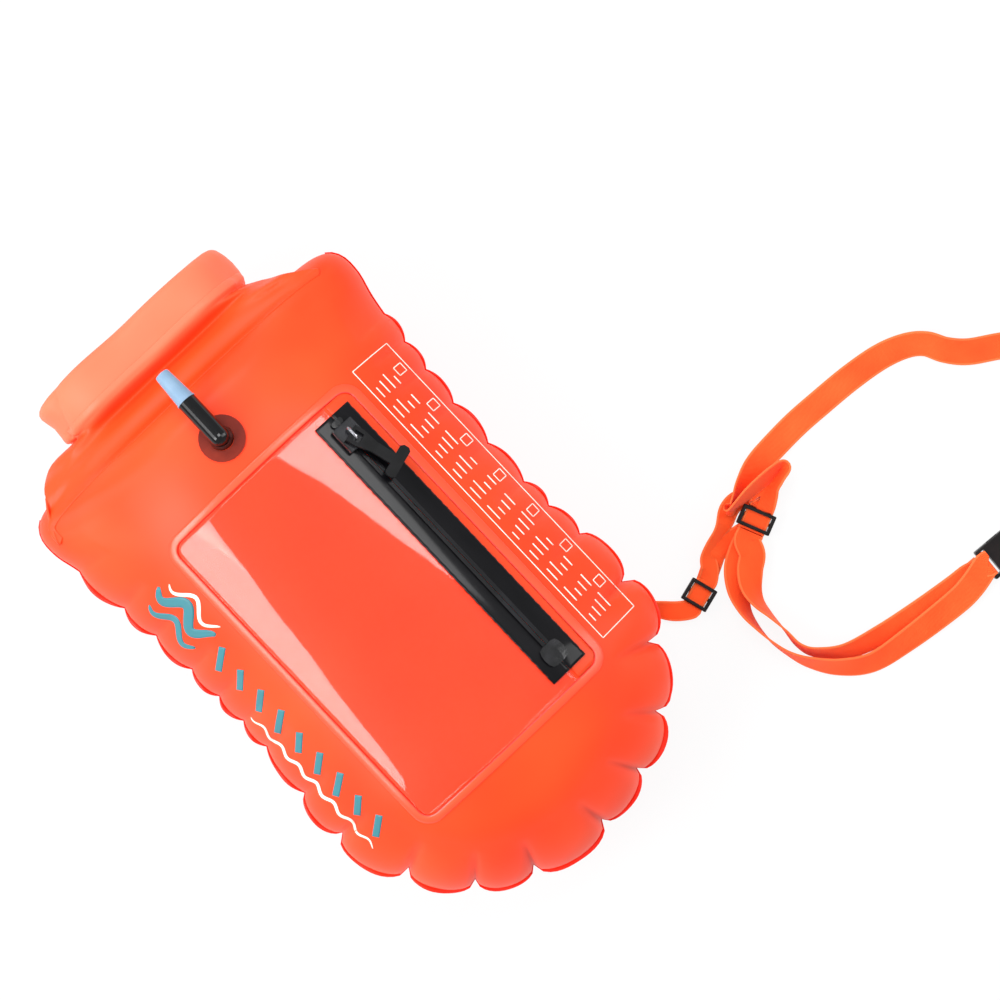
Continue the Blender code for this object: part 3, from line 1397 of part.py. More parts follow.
def belt_buckle_matrix():
    height = FIT_GAP + BUCKLE_THICKNESS / 2
    return flat_matrix(BELT_BUCKLE_CENTRE, BELT_BUCKLE_TURN, height)


def along_way(matrix, path, lean=0):
    """(x, z) path in a piece's own frame to (x, y, z, lean) rows."""
    rows = []
    for x, z in path:
        spot = matrix @ Vector((x, 0, z))
        rows.append((spot.x, spot.y, spot.z, lean))
    return rows


def glide_channel(height, thickness):
    return height + GLIDE_BAR + (thickness + GLIDE_CHANNEL_GAP) / 2


def bar_hook(height, depth, thickness):
    """(x, z) way of a strap that comes in under a slider and turns up behind its centre bar."""
    low = height - GLIDE_CHANNEL_GAP / 2 - thickness / 2
    behind = GLIDE_CENTRE_BAR / 2 + GLIDE_CHANNEL_GAP / 2 + thickness / 2
    return [(-depth, low), (-depth / 2, low), (behind - thickness * FOLD_SHARE, low),
            (behind, low + thickness * FOLD_SHARE), (behind, height + GLIDE_BAR - thickness * 0.5)]


def belt_straps(material):
    glide = flat_matrix(BELT_GLIDE_CENTRE, BELT_GLIDE_TURN)
    buckle = belt_buckle_matrix()
    channel = glide_channel(BELT_GLIDE_HEIGHT, BELT_THICKNESS)
    half = BELT_GLIDE_DEPTH / 2
    join = half + BELT_THICKNESS
    main = along_way(glide, [(-join, channel), (0, channel), (half, channel), (join, channel)])
    main += BELT_MAIN_WAY
    wrap = bar_wrap(PLUG_BASE_LENGTH, 1, BELT_THICKNESS)
    tail = PLUG_BASE_LENGTH + ROLL_TAB_LENGTH
    wrap = [(tail / 2 + PLUG_BASE_LENGTH / 2, wrap[0][1])] + wrap + [(tail, wrap[-1][1])]
    main += along_way(buckle, wrap, -180)
    ribbon("belt_strap_main", main, BELT_WIDTH, BELT_THICKNESS, material)
    start = join + BELT_THICKNESS / 2
    inner = along_way(glide, [(-start, channel), (-start - BELT_THICKNESS, channel),
                              (-join - half, channel)])
    height = bar_wrap(-SOCKET_LENGTH, -1, BELT_THICKNESS)[0][1]
    stop = -SOCKET_LENGTH - BELT_THICKNESS
    inner += BELT_INNER_WAY + along_way(buckle, [(stop - half, -height), (stop, -height)], -180)
    ribbon("belt_strap_inner_layer", inner, BELT_WIDTH, BELT_THICKNESS, material)
    outer = along_way(glide, bar_hook(BELT_GLIDE_HEIGHT, BELT_GLIDE_DEPTH, BELT_THICKNESS))[::-1]
    outer += BELT_OUTER_WAY + along_way(buckle, bar_wrap(-SOCKET_LENGTH, -1, BELT_THICKNESS), -180)
    ribbon("belt_strap_outer_layer", outer, BELT_WIDTH, BELT_THICKNESS, material)


# Leash: from its anchor under the bag to the slider and round the belt
LEASH_GLIDE_CENTRE = (0.1692, -0.1812)
LEASH_GLIDE_TURN = 15.8
ANCHOR_CENTRE = (0.040, -0.190)
LEASH_HIDDEN_WAY = [
    (0.0560, -0.2120, 0.0120, 0), (0.0680, -0.2140, 0.0100, 40), (0.0810, -0.2040, 0.0086, 85),
    (0.0930, -0.1840, 0.0086, 90), (0.1020, -0.1550, 0.0086, 90), (0.1040, -0.1200, 0.0086, 90),
    (0.1040, -0.0800, 0.0086, 90), (0.1035, -0.0400, 0.0086, 90), (0.1060, -0.0260, 0.0086, 90),
    (0.1120, -0.0230, 0.0086, 90), (0.1165, -0.0280, 0.0086, 90), (0.1175, -0.0500, 0.0086, 90),
    (0.1175, -0.0900, 0.0086, 90), (0.1185, -0.1250, 0.0086, 90), (0.1270, -0.1490, 0.0086, 85),
    (0.1370, -0.1640, 0.0074, 45), (0.1470, -0.1770, 0.0054, 8),
]
LEASH_LOOP_WAY = [
    (0.1880, -0.1725, 0.0070, 35), (0.1925, -0.1655, 0.0084, 68), (0.2010, -0.1597, 0.0084, 75),
    (0.2110, -0.1555, 0.0076, 58), (0.2190, -0.1510, 0.0040, 15), (0.2290, -0.1465, 0.0012, 0),
    (0.2390, -0.1480, 0.0010, 0), (0.2450, -0.1560, 0.0010, 0), (0.2430, -0.1660, 0.0010, 0),
    (0.2340, -0.1715, 0.0010, 0), (0.2240, -0.1700, 0.0010, 0), (0.2130, -0.1680, 0.0010, 0),
    (0.2040, -0.1675, 0.0030, -14), (0.1980, -0.1690, 0.0046, -26), (0.1900, -0.1725, 0.0016, -5),
]


def leash_strap(material):
    glide = flat_matrix(LEASH_GLIDE_CENTRE, LEASH_GLIDE_TURN)
    channel = glide_channel(LEASH_GLIDE_HEIGHT, LEASH_THICKNESS)
    half = LEASH_GLIDE_DEPTH / 2
    away = (Vector(ANCHOR_CENTRE) - Vector((0, SPINE_BOTTOM))).normalized()
    drop = OVERLAY_GAP + ANCHOR_THICKNESS + OVERLAY_GAP + LEASH_THICKNESS / 2
    rows = []
    for step in ANCHOR_SEAM_SHARES:
        spot = Vector(ANCHOR_CENTRE) + away * (ANCHOR_HALF_LENGTH * step)
        rows.append((spot.x, spot.y, back_height(spot.x, spot.y) - drop - OVERLAY_GAP, 0))
    rows += LEASH_HIDDEN_WAY
    join = half + LEASH_THICKNESS * 3
    rows += along_way(glide, [(-join, channel), (-half, channel), (0, channel), (half, channel),
                              (join, channel)])
    rows += LEASH_LOOP_WAY
    hook = bar_hook(LEASH_GLIDE_HEIGHT, LEASH_GLIDE_DEPTH, LEASH_THICKNESS)
    rows += along_way(glide, [(-x, z) for x, z in hook[1:]])
    ribbon("leash_strap", rows, LEASH_WIDTH, LEASH_THICKNESS, material)


def leash_anchor(material):
    """Rounded patch welded under the back chamber, where the leash is sewn on."""
    away = (Vector(ANCHOR_CENTRE) - Vector((0, SPINE_BOTTOM))).normalized()
    across = Vector((-away.y, away.x))
    top = []
    bottom = []
    levels = ANCHOR_LEVELS
    for level in range(levels + 1):
        part = 2 * level / levels - 1
        width = ANCHOR_HALF_WIDTH * (1 - ANCHOR_TAPER_SHARE * abs(part) ** ANCHOR_TAPER_POWER)
        top_row = []
        bottom_row = []
        for column in range(ANCHOR_COLUMNS + 1):
            spot = (Vector(ANCHOR_CENTRE) + away * (ANCHOR_HALF_LENGTH * part)
                    + across * (width * (2 * column / ANCHOR_COLUMNS - 1)))
            height = back_height(spot.x, spot.y) - OVERLAY_GAP
            top_row.append((spot.x, spot.y, height))
            bottom_row.append((spot.x, spot.y, height - ANCHOR_THICKNESS))
        top.append(top_row)
        bottom.append(bottom_row)
    vertices, faces = sheet(top, bottom)
    return make_object("leash_anchor_patch", vertices, faces, material)


def build_bag():
    fabric = chamber_material()
    chamber("front_air_chamber", FRONT_CROWN, 1, fabric)
    chamber("back_air_chamber", BACK_DEPTH, -1, fabric)
    weld_rim(rim_material())
    transfer_port(seal_material())
    rolled = roll_material()
    neck_panel(rolled)
    roll_top(rolled)
    roll_stiffener(stiffener_material())


def build_window():
    window_film(film_material())
    window_welt(welt_material())
    tape = zip_tape_material()
    zip_tape("zip_tape_left", -1, tape)
    zip_tape("zip_tape_right", 1, tape)
    profile = zip_profile_material()
    zip_rail("zip_rail_left", -1, profile)
    zip_rail("zip_rail_right", 1, profile)
    zip_stop("zip_top_stop", TOP_STOP_Y, TOP_STOP_LENGTH / 2, TOP_STOP_WIDTH / 2, STOP_HEIGHT, profile)
    zip_stop("zip_end_dock", DOCK_Y, DOCK_HALF_LENGTH, DOCK_HALF_WIDTH, DOCK_HEIGHT, profile)
    zip_slider(zip_slider_material())
    zip_bridge(bridge_material())
    zip_puller(puller_material())


def build_valve():
    valve_flange(flange_material())
    valve_cup(cup_material())
    valve_tube(tube_material())
    mouthpiece(mouthpiece_material())
    seal = seal_material()
    valve_plug(seal)
    o_ring(seal)


def build_straps():
    plastic = buckle_material()
    webbing = webbing_material()
    at_roll = roll_buckle_matrix()
    side_release_buckle("roll", BELT_WIDTH, at_roll, plastic)
    roll_tab("roll_tab_left", -1, at_roll, webbing)
    roll_tab("roll_tab_right", 1, at_roll, webbing)
    side_release_buckle("belt", BELT_WIDTH, belt_buckle_matrix(), plastic)
    tri_glide("belt_slider", BELT_WIDTH, BELT_THICKNESS, BELT_GLIDE_DEPTH, BELT_GLIDE_HEIGHT,
              flat_matrix(BELT_GLIDE_CENTRE, BELT_GLIDE_TURN), plastic)
    tri_glide("leash_slider", LEASH_WIDTH, LEASH_THICKNESS, LEASH_GLIDE_DEPTH, LEASH_GLIDE_HEIGHT,
              flat_matrix(LEASH_GLIDE_CENTRE, LEASH_GLIDE_TURN), plastic)
    belt_straps(webbing)
    leash_strap(webbing)
    leash_anchor(rim_material())


def centre_frame():
    """Move everything so that the bag without its straps is centred over the origin."""
    bag = [item for item in bpy.data.objects if not item.name.startswith(("belt_", "leash_s"))]
    spots = [np.array(item.location) + np.array(vertex.co) for item in bag for vertex in item.data.vertices]
    low = np.min(spots, axis=0)
    high = np.max(spots, axis=0)
    shift = Vector(((low[0] + high[0]) / 2, (low[1] + high[1]) / 2, 0))
    for item in bpy.data.objects:
        item.location = item.location - shift
    print("frame shift", tuple(shift))


clear_scene()
build_bag()
build_window()
build_valve()
build_straps()
centre_frame()
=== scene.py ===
# %% [markdown]
# # Open water swim buoy
# An orange swim buoy is two air chambers welded edge to edge, with a roll-top dry bag between
# them, a clear pocket with a watertight zip on the front, an inflation valve, a leash and a waist
# belt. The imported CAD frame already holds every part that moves. This lesson dresses it: soft
# parts are built again, finer, in their frame places, and hard parts keep their CAD mesh and get
# a real finish.

# %% Load the frame
import math

import bmesh
import bpy
import numpy as np
from mathutils import Matrix, Vector
from mathutils.bvhtree import BVHTree


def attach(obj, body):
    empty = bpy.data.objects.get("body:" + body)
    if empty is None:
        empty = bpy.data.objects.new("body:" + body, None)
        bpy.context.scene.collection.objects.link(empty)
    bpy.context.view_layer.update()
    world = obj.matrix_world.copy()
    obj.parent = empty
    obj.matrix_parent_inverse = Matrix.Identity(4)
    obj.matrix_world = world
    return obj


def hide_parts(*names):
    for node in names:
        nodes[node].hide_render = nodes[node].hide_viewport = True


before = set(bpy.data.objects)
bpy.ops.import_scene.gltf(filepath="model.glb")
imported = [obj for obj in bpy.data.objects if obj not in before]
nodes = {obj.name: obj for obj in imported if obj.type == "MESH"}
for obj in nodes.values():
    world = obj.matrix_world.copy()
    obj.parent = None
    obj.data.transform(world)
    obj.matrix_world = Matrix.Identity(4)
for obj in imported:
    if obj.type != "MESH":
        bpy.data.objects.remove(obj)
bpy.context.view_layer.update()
scene = bpy.context.scene
scene.view_settings.view_transform = "Standard"

# %% [markdown]
# ## Camera
# The buoy lies on its back and is seen from straight above, turned by about 43 degrees, through
# a long lens, so there is hardly any perspective. The camera's axes are written down directly: to
# the right of the picture, up, and back to the camera. Aiming it with a constraint wouldn't do,
# because looking straight down leaves the up direction open.

# %% Camera straight above the bag
EYE = Vector((0.110378, -0.022184, 2.2))
PICTURE_RIGHT = Vector((0.728, -0.686, 0)).normalized()
BACK = Vector((0, 0, 1))
PICTURE_UP = BACK.cross(PICTURE_RIGHT)
LENS_MM = 106.7
SENSOR_MM = 36
camera_data = bpy.data.cameras.new("camera")
camera_data.lens = LENS_MM
camera_data.sensor_width = SENSOR_MM
camera = bpy.data.objects.new("camera", camera_data)
scene.collection.objects.link(camera)
axes = Matrix((PICTURE_RIGHT, PICTURE_UP, BACK)).transposed().to_4x4()
camera.matrix_world = Matrix.Translation(EYE) @ axes
scene.camera = camera
print("camera at", tuple(EYE))

# %% [markdown]
# ## Small tools for meshes
# Most soft pieces here are grids: rows of points joined by four-sided faces. One helper turns
# grids into a mesh, stores a texture map measured in metres, and shades it smooth. The drawing of
# this buoy has its own zero, a few millimetres from the frame's, so the helper also moves each
# piece by that amount.

# %% Grid helpers
DRAWING_SHIFT = Vector((0.000378, 0.006816, 0))


def piece_from(name, node, vertices, faces, material, slot, uvs=None):
    """Closed piece from drawing coordinates that rides on the bag and stands for a frame node."""
    mesh = bpy.data.meshes.new(name)
    mesh.from_pydata([tuple(Vector(v) + DRAWING_SHIFT) for v in vertices], [], faces)
    mesh.polygons.foreach_set("use_smooth", [True] * len(mesh.polygons))
    if uvs is not None:
        layer = mesh.uv_layers.new(name="metres")
        loops = np.array([uvs[loop.vertex_index] for loop in mesh.loops], dtype=np.float32)
        layer.data.foreach_set("uv", loops.ravel())
    mesh.validate()
    mesh.update()
    shape = bmesh.new()
    shape.from_mesh(mesh)
    if shape.calc_volume(signed=True) < 0:
        mesh.flip_normals()
    shape.free()
    piece = bpy.data.objects.new(name, mesh)
    scene.collection.objects.link(piece)
    mesh.materials.append(material)
    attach(piece, "bag")
    if node:
        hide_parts(node)
    print(name, len(vertices), "vertices")
    return piece


def joined_rings(rings, around=True, along=False, caps=False):
    """Faces that join rings of equal length; each ring may close, and so may the row of them."""
    count = len(rings[0])
    faces = []
    for ring in range(len(rings) if along else len(rings) - 1):
        near = ring * count
        far = (ring + 1) % len(rings) * count
        for index in range(count if around else count - 1):
            after = (index + 1) % count
            faces.append((near + index, near + after, far + after, far + index))
    if caps:
        last = (len(rings) - 1) * count
        faces.append(tuple(reversed(range(count))))
        faces.append(tuple(last + index for index in range(count)))
    return faces


def curve_point(before, start, end, after, t):
    """Point at share t from start to end on the smooth (Catmull-Rom) curve through all four."""
    return 0.5 * (2 * start + (end - before) * t
                  + (2 * before - 5 * start + 4 * end - after) * t * t
                  + (3 * start - before - 3 * end + after) * t ** 3)


def smooth_line(points, steps):
    """Open smooth line through rows of numbers, with steps spans between two rows."""
    rows = [np.array(point, dtype=float) for point in points]
    rows = [2 * rows[0] - rows[1]] + rows + [2 * rows[-1] - rows[-2]]
    line = [curve_point(*rows[index:index + 4], t)
            for index in range(len(rows) - 3) for t in np.arange(steps) / steps]
    return line + [rows[-2]]


def smooth_step(value, low, high):
    """0 up to low, 1 from high on, and a soft S between them."""
    t = np.clip((value - low) / (high - low), 0, 1)
    return t * t * (3 - 2 * t)


print("grid helpers ready")

# %% [markdown]
# ## Small tools for materials
# A finish is a Principled shader plus a few texture nodes. Writing out every node and link is
# long, so each usual group of nodes has a helper: a shader from its constants, a colour ramp, a
# noise, a bump, a sum. Blender's node editor shows the result as it would any other.

# %% Node helpers
def srgb(red, green, blue):
    """Screen colour from 0 to 255, turned into the linear numbers that Cycles needs."""
    return tuple(c / 255 / 12.92 if c < 11 else ((c / 255 + 0.055) / 1.055) ** 2.4
                 for c in (red, green, blue)) + (1.0,)


def finish_of(name, colour, roughness, **constants):
    """Material with one Principled shader, whose other sockets are given by name."""
    material = bpy.data.materials.new(name)
    material.use_nodes = True
    shader = material.node_tree.nodes["Principled BSDF"]
    shader.inputs["Base Color"].default_value = srgb(*colour)
    shader.inputs["Roughness"].default_value = roughness
    for socket, value in constants.items():
        shader.inputs[socket.replace("_", " ")].default_value = value
    return material, material.node_tree, shader


def add_node(tree, kind, **values):
    """New node; a value goes to the input of that name, or else to the node's own setting."""
    made = tree.nodes.new(kind)
    for key, value in values.items():
        label = key.replace("_", " ")
        if label in made.inputs:
            made.inputs[label].default_value = value
        else:
            setattr(made, key, value)
    return made


def ramp(tree, source, *stops):
    """Colour ramp fed by a socket; each stop is (place, screen colour)."""
    made = tree.nodes.new("ShaderNodeValToRGB")
    points = made.color_ramp.elements
    while len(points) < len(stops):
        points.new(0.5)
    for point, (place, colour) in zip(points, stops):
        point.position = place
        point.color = srgb(*colour)
    tree.links.new(source, made.inputs["Fac"])
    return made.outputs["Color"]


def tint(tree, shader, source, *stops):
    """Base colour from a ramp fed by a socket."""
    tree.links.new(ramp(tree, source, *stops), shader.inputs["Base Color"])


def bump(tree, shader, height, distance, strength=1.0):
    """Bump of a real depth in metres on the shader's normal."""
    made = add_node(tree, "ShaderNodeBump", Strength=strength, Distance=distance)
    tree.links.new(height, made.inputs["Height"])
    tree.links.new(made.outputs["Normal"], shader.inputs["Normal"])


def texture_map(tree):
    """The two parts of a piece's texture map, each as a socket."""
    split = tree.nodes.new("ShaderNodeSeparateXYZ")
    tree.links.new(tree.nodes.new("ShaderNodeUVMap").outputs["UV"], split.inputs["Vector"])
    return split.outputs["X"], split.outputs["Y"]


def noise(tree, scale, detail=3.0, roughness=0.5, stretch=None):
    """Noise value in object space, optionally stretched along the axes."""
    place = tree.nodes.new("ShaderNodeTexCoord").outputs["Object"]
    if stretch is not None:
        mapping = add_node(tree, "ShaderNodeMapping", Scale=stretch)
        tree.links.new(place, mapping.inputs["Vector"])
        place = mapping.outputs["Vector"]
    made = add_node(tree, "ShaderNodeTexNoise", Scale=scale, Detail=detail, Roughness=roughness)
    tree.links.new(place, made.inputs["Vector"])
    return made.outputs["Fac"]


def maths(tree, operation, *values):
    """Math node; each value is a socket or a number."""
    made = add_node(tree, "ShaderNodeMath", operation=operation)
    for socket, value in zip(made.inputs, values):
        if isinstance(value, (int, float)):
            socket.default_value = value
        else:
            tree.links.new(value, socket)
    return made.outputs["Value"]


print("node helpers ready")
# %% [markdown]
# ## Webbing
# The belt and the leash are woven polyester webbing, 20 mm and 15 mm wide. Real webbing has
# bundles of yarn that run along it and a weft that crosses them, so its face is a field of small
# ribs, and its two edges are a little thicker and catch the light. The weave is drawn from the
# texture map in metres, so that it follows every twist of the strap.

# %% Webbing finish
WEFT_PITCH = 0.0011
WARP_PITCH = 0.0016
BELT_WIDTH = 0.020
BELT_THICKNESS = 0.0015
LEASH_WIDTH = 0.015
LEASH_THICKNESS = 0.0012
MIX_FACTOR, MIX_FIRST, MIX_SECOND, MIX_RESULT = 0, 6, 7, 2


def webbing_finish(name, width):
    """Woven finish: ribs that follow the texture map with painted shade between them, and two
    raised edges painted lighter as a painted highlight.
    """
    material, tree, shader = finish_of(name, (255, 96, 38), 0.7, Sheen_Weight=0.12,
                                       Sheen_Roughness=0.4, Specular_IOR_Level=0.2)
    along, across = texture_map(tree)
    weft = maths(tree, "SINE", maths(tree, "MULTIPLY", along, math.tau / WEFT_PITCH))
    warp = maths(tree, "SINE", maths(tree, "MULTIPLY", across, math.tau / WARP_PITCH))
    weave = maths(tree, "MULTIPLY_ADD", maths(tree, "MULTIPLY", weft, warp), 0.5, 0.5)
    edge = maths(tree, "GREATER_THAN", maths(tree, "ABSOLUTE", across), width / 2 - WARP_PITCH)
    worn = maths(tree, "MULTIPLY", noise(tree, 28.0), 0.55)
    shade = maths(tree, "MULTIPLY_ADD", weave, 0.45, worn)
    # The ramp paints shade between the ribs; the mix paints the raised edges lighter, a painted
    # highlight.
    mix = add_node(tree, "ShaderNodeMix", data_type="RGBA")
    mix.inputs[MIX_SECOND].default_value = srgb(255, 122, 66)
    tree.links.new(maths(tree, "MULTIPLY", edge, 0.7), mix.inputs[MIX_FACTOR])
    tree.links.new(ramp(tree, shade, (0.15, (255, 62, 16)), (0.55, (255, 90, 34)),
                        (0.9, (255, 114, 54))), mix.inputs[MIX_FIRST])
    tree.links.new(mix.outputs[MIX_RESULT], shader.inputs["Base Color"])
    fuzz = maths(tree, "MULTIPLY", noise(tree, 900.0, 2.0), 0.2)
    height = maths(tree, "MULTIPLY_ADD", weave, 0.8, fuzz)
    bump(tree, shader, maths(tree, "ADD", height, edge), 0.00025)
    return material


belt_finish = webbing_finish("belt_webbing", BELT_WIDTH)
leash_finish = webbing_finish("leash_webbing", LEASH_WIDTH)
print("webbing finishes ready")

# %% [markdown]
# ## Straps along their real way
# A strap is a flat section with softly rounded edges, carried along a line. At every point of
# the way a lean angle says whether the strap lies flat (0) or stands on its edge (90), because a
# belt that drops on a table does both. A curve with a bevel would twist on its own where the line
# bends; placing each section one by one keeps the twist where the photograph shows it.

# %% Strap helper
STRAP_UNITS = np.array([1000, 1000, 1000, 1])  # millimetres to metres, the lean stays in degrees
STEEP = 0.25  # level part of a direction below which the way is too steep to show its side


def strap_section(width, thickness):
    """Points (across, through) of a flat section with rounded edges."""
    edge = thickness / 2
    half = width / 2 - edge
    flat = np.linspace(-half, half, 9)
    turns = np.radians([60, 30, 0, -30, -60])
    top = [(a, edge) for a in flat]
    right = [(half + edge * math.cos(t), edge * math.sin(t)) for t in turns]
    bottom = [(a, -edge) for a in flat[::-1]]
    left = [(-half - edge * math.cos(t), -edge * math.sin(t)) for t in turns]
    return top + right + bottom + left


def strap(name, node, way, width, thickness, material, steps):
    """Webbing through rows of (x, y, z, lean); returns the piece, its middle line and length."""
    line = [row / STRAP_UNITS for row in smooth_line(way, steps)]
    spots = [Vector(row[:3]) for row in line]
    section = strap_section(width, thickness)
    vertices, uvs = [], []
    side = None
    travel = 0.0
    for index, (centre, row) in enumerate(zip(spots, line)):
        before, after = line[max(0, index - 1)], line[min(len(line) - 1, index + 1)]
        along = Vector(after[:3] - before[:3]).normalized()
        level = Vector((-along.y, along.x, 0))
        if level.length < STEEP and side is not None:
            level = side.copy()
        level.normalize()
        if side is not None and level.dot(side) < 0:
            level = -level
        side = level
        up = along.cross(level).normalized()
        lean = math.radians(row[3])
        across = level * math.cos(lean) + up * math.sin(lean)
        through = along.cross(across).normalized()
        travel += (centre - spots[max(0, index - 1)]).length
        vertices += [tuple(centre + across * a + through * b) for a, b in section]
        uvs += [(travel, a) for a, b in section]
    faces = joined_rings([section] * len(line), caps=True)
    piece = piece_from(name, node, vertices, faces, material, "webbing_orange", uvs=uvs)
    print(name, "measures", round(travel, 3), "m")
    return piece, [tuple(spot + DRAWING_SHIFT) for spot in spots], travel
# %% [markdown]
# ## Waist belt
# The belt starts in its slider, folds over twice beside it, runs out in a long arc, comes back
# and ends round the bar of the buckle's plug. The other part is a doubled stretch from the slider
# to the buckle's socket: the two layers fan apart round the lower turn and stand on edge there.
# The rows below (x, y, z in millimetres, lean in degrees) keep to the way of the frame's solids;
# only at the fold does the belt lean over, where the solids stand on edge.

# %% Waist belt, main stretch
BELT_MAIN_WAY = [
    (229.44, -173.22, 7.9, 0), (237.9, -169.6, 7.9, 0), (244.98, -166.57, 7.9, 0),
    (246.36, -165.98, 7.9, 0), (260, -159, 9.6, -38), (269, -156.8, 11.8, -52),
    (276.2, -155.5, 13, -60), (276.8, -153.3, 14.4, -62), (270, -152, 17.2, -60),
    (260, -151.2, 19.8, -60), (247, -150.8, 20.6, -64), (236.5, -151.2, 18.6, -72),
    (229, -151, 15.8, -82), (228.6, -149, 14.2, -92), (237.3, -146.6, 12.8, -108),
    (248.7, -144, 11.5, -135), (264, -140.8, 8, -160), (279.5, -139.5, 4.5, -175),
    (307, -138.4, 2, -180), (331.9, -139.3, 1.6, -180), (360.9, -141.1, 1.6, -180),
    (387.7, -145, 2.8, -172), (406.8, -151.8, 5, -160), (418.6, -160.9, 6, -155),
    (426.3, -174.3, 5, -162), (438, -187, 2.8, -174), (458.1, -200.1, 1.6, -180),
    (480, -216, 4.2, -165), (495, -238, 7.4, -145), (500, -260, 8, -140), (494, -282, 7.4, -145),
    (477, -301, 4.2, -165), (450, -312, 2, -180), (420, -315.5, 3.5, -180),
    (398, -315.5, 6, -180), (387.47, -313.91, 7.44, -180), (381.48, -313.56, 7.44, -180),
    (378.43, -313.38, 7.44, -180), (377.53, -313.32, 6.54, -180), (377.53, -313.32, 2.26, -180),
    (378.43, -313.38, 1.36, -180), (381.48, -313.56, 1.36, -180), (393.46, -314.27, 1.36, -180),
]
print("belt, main stretch:", len(BELT_MAIN_WAY), "rows")

# %% [markdown]
# Both lower layers start at the slider. The outer one passes under its bars and ends round the
# bar of the buckle's socket, the inner one is sewn down just before it.

# %% Waist belt, the two lower layers
BELT_INNER_WAY = [
    (228.75, -173.52, 7.9, 0), (227.38, -174.11, 7.9, 0), (222.37, -176.26, 7.9, 0),
    (218, -186.2, 8.4, 0), (209, -193.4, 9, -8), (201, -203, 10.4, -32),
    (197.2, -214.6, 11, -60), (197, -227.5, 11.2, -78), (197.4, -243.7, 11.2, -90),
    (197.2, -258.3, 11.2, -98), (202.8, -270.8, 10.8, -112), (219.1, -285.5, 9.6, -130),
    (247.8, -295.3, 7.6, -147), (279.1, -302.4, 5, -162), (308, -307.3, 2.8, -175),
    (323, -309, 2, -180), (328.57, -310.42, 1.36, -180), (336.26, -310.87, 1.36, -180),
]
BELT_OUTER_WAY = [
    (240.06, -168.67, 6.05, 0), (240.06, -168.67, 4.6, 0), (239.23, -169.03, 3.7, 0),
    (230.82, -172.63, 3.7, 0), (223.75, -175.67, 3.7, 0), (215, -179, 4.2, 0),
    (203, -186.2, 5, -8), (192, -199, 8, -32), (185.8, -212.5, 10.4, -60),
    (183.9, -226.6, 11, -78), (184.3, -242.3, 11.2, -90), (187.6, -257.8, 11.2, -98),
    (194.7, -273.5, 10.6, -114), (208, -290.8, 9.8, -130), (228.1, -305, 9, -142),
    (258.1, -310.9, 8, -154), (301.3, -315.2, 7.4, -172), (320, -314.8, 7.2, -180),
    (337.75, -310.96, 7.44, -180), (340.8, -311.14, 7.44, -180), (341.7, -311.2, 6.54, -180),
    (341.7, -311.2, 2.26, -180), (340.8, -311.14, 1.36, -180), (337.75, -310.96, 1.36, -180),
]
print("belt, lower layers:", len(BELT_INNER_WAY), "and", len(BELT_OUTER_WAY), "rows")

# %% [markdown]
# ## Leash
# The leash is sewn to a patch under the bag. Most of its length is tucked under the bag and only
# the end comes out beside the zip: it passes its slider, makes a loop that lies under the belt's
# fold, and comes back round the slider's middle bar.

# %% Leash
LEASH_WAY = [
    (32.88, -178.41, 1.87, 0), (40.89, -191.45, 7.92, 0), (48.9, -204.48, 14.72, 0),
    (56, -212, 12, 0), (68, -214, 10, 40), (81, -204, 8.6, 85), (93, -184, 8.6, 90),
    (102, -155, 8.6, 90), (104, -120, 8.6, 90), (104, -80, 8.6, 90), (103.5, -40, 8.6, 90),
    (106, -26, 8.6, 90), (112, -23, 8.6, 90), (116.5, -28, 8.6, 90), (117.5, -50, 8.6, 90),
    (117.5, -90, 8.6, 90), (118.5, -125, 8.6, 90), (127, -149, 8.6, 85), (137, -164, 7.4, 45),
    (147, -177, 5.4, 8), (157.08, -184.63, 4.95, 0), (160.54, -183.65, 4.95, 0),
    (169.2, -181.2, 4.95, 0), (177.86, -178.75, 4.95, 0), (181.32, -177.77, 4.95, 0),
    (188, -172.5, 6.2, 22), (192.5, -166, 7.4, 34), (201, -161.2, 7.6, 48), (211, -157.8, 7, 52),
    (220, -154.8, 4.2, 24), (229, -150.6, 1.4, 2), (237, -150, 1, 0), (243, -153.5, 1, 0),
    (245.5, -159, 1, 0), (243, -166, 1, 0), (234, -171.5, 1, 0), (224, -170, 1, 0),
    (213, -168, 1, 0), (204, -167.5, 3, -14), (198, -169, 4.6, -26), (190, -172.5, 1.6, -5),
    (177.86, -178.75, 1.05, 0), (167.78, -181.6, 1.05, 0), (167.08, -181.8, 1.77, 0),
    (167.08, -181.8, 3.4, 0),
]
print("leash:", len(LEASH_WAY), "rows")

# %% [markdown]
# ## What a free strap has to say
# A strap is something flexible of a fixed length. Each one is listed with its name, the frame
# node it stands for, its way (how it lies), its webbing (width, thickness, finish and steps) and
# the fittings it passes.

BELT = (BELT_WIDTH, BELT_THICKNESS, belt_finish, 8)
LEASH = (LEASH_WIDTH, LEASH_THICKNESS, leash_finish, 6)
STRAPS = [
    ("belt_webbing_main", "belt_strap_main", BELT_MAIN_WAY, BELT,
     ["belt_slider", "belt_buckle_plug", "belt_buckle_prong_left", "belt_buckle_prong_right"]),
    ("belt_webbing_inner_layer", "belt_strap_inner_layer", BELT_INNER_WAY, BELT, []),
    ("belt_webbing_outer_layer", "belt_strap_outer_layer", BELT_OUTER_WAY, BELT,
     ["belt_buckle_socket"]),
    ("leash_webbing_strap", "leash_strap", LEASH_WAY, LEASH, ["leash_slider"]),
]
for name, node, way, webbing, fittings in STRAPS:
    piece, path, length = strap(name, node, way, *webbing)
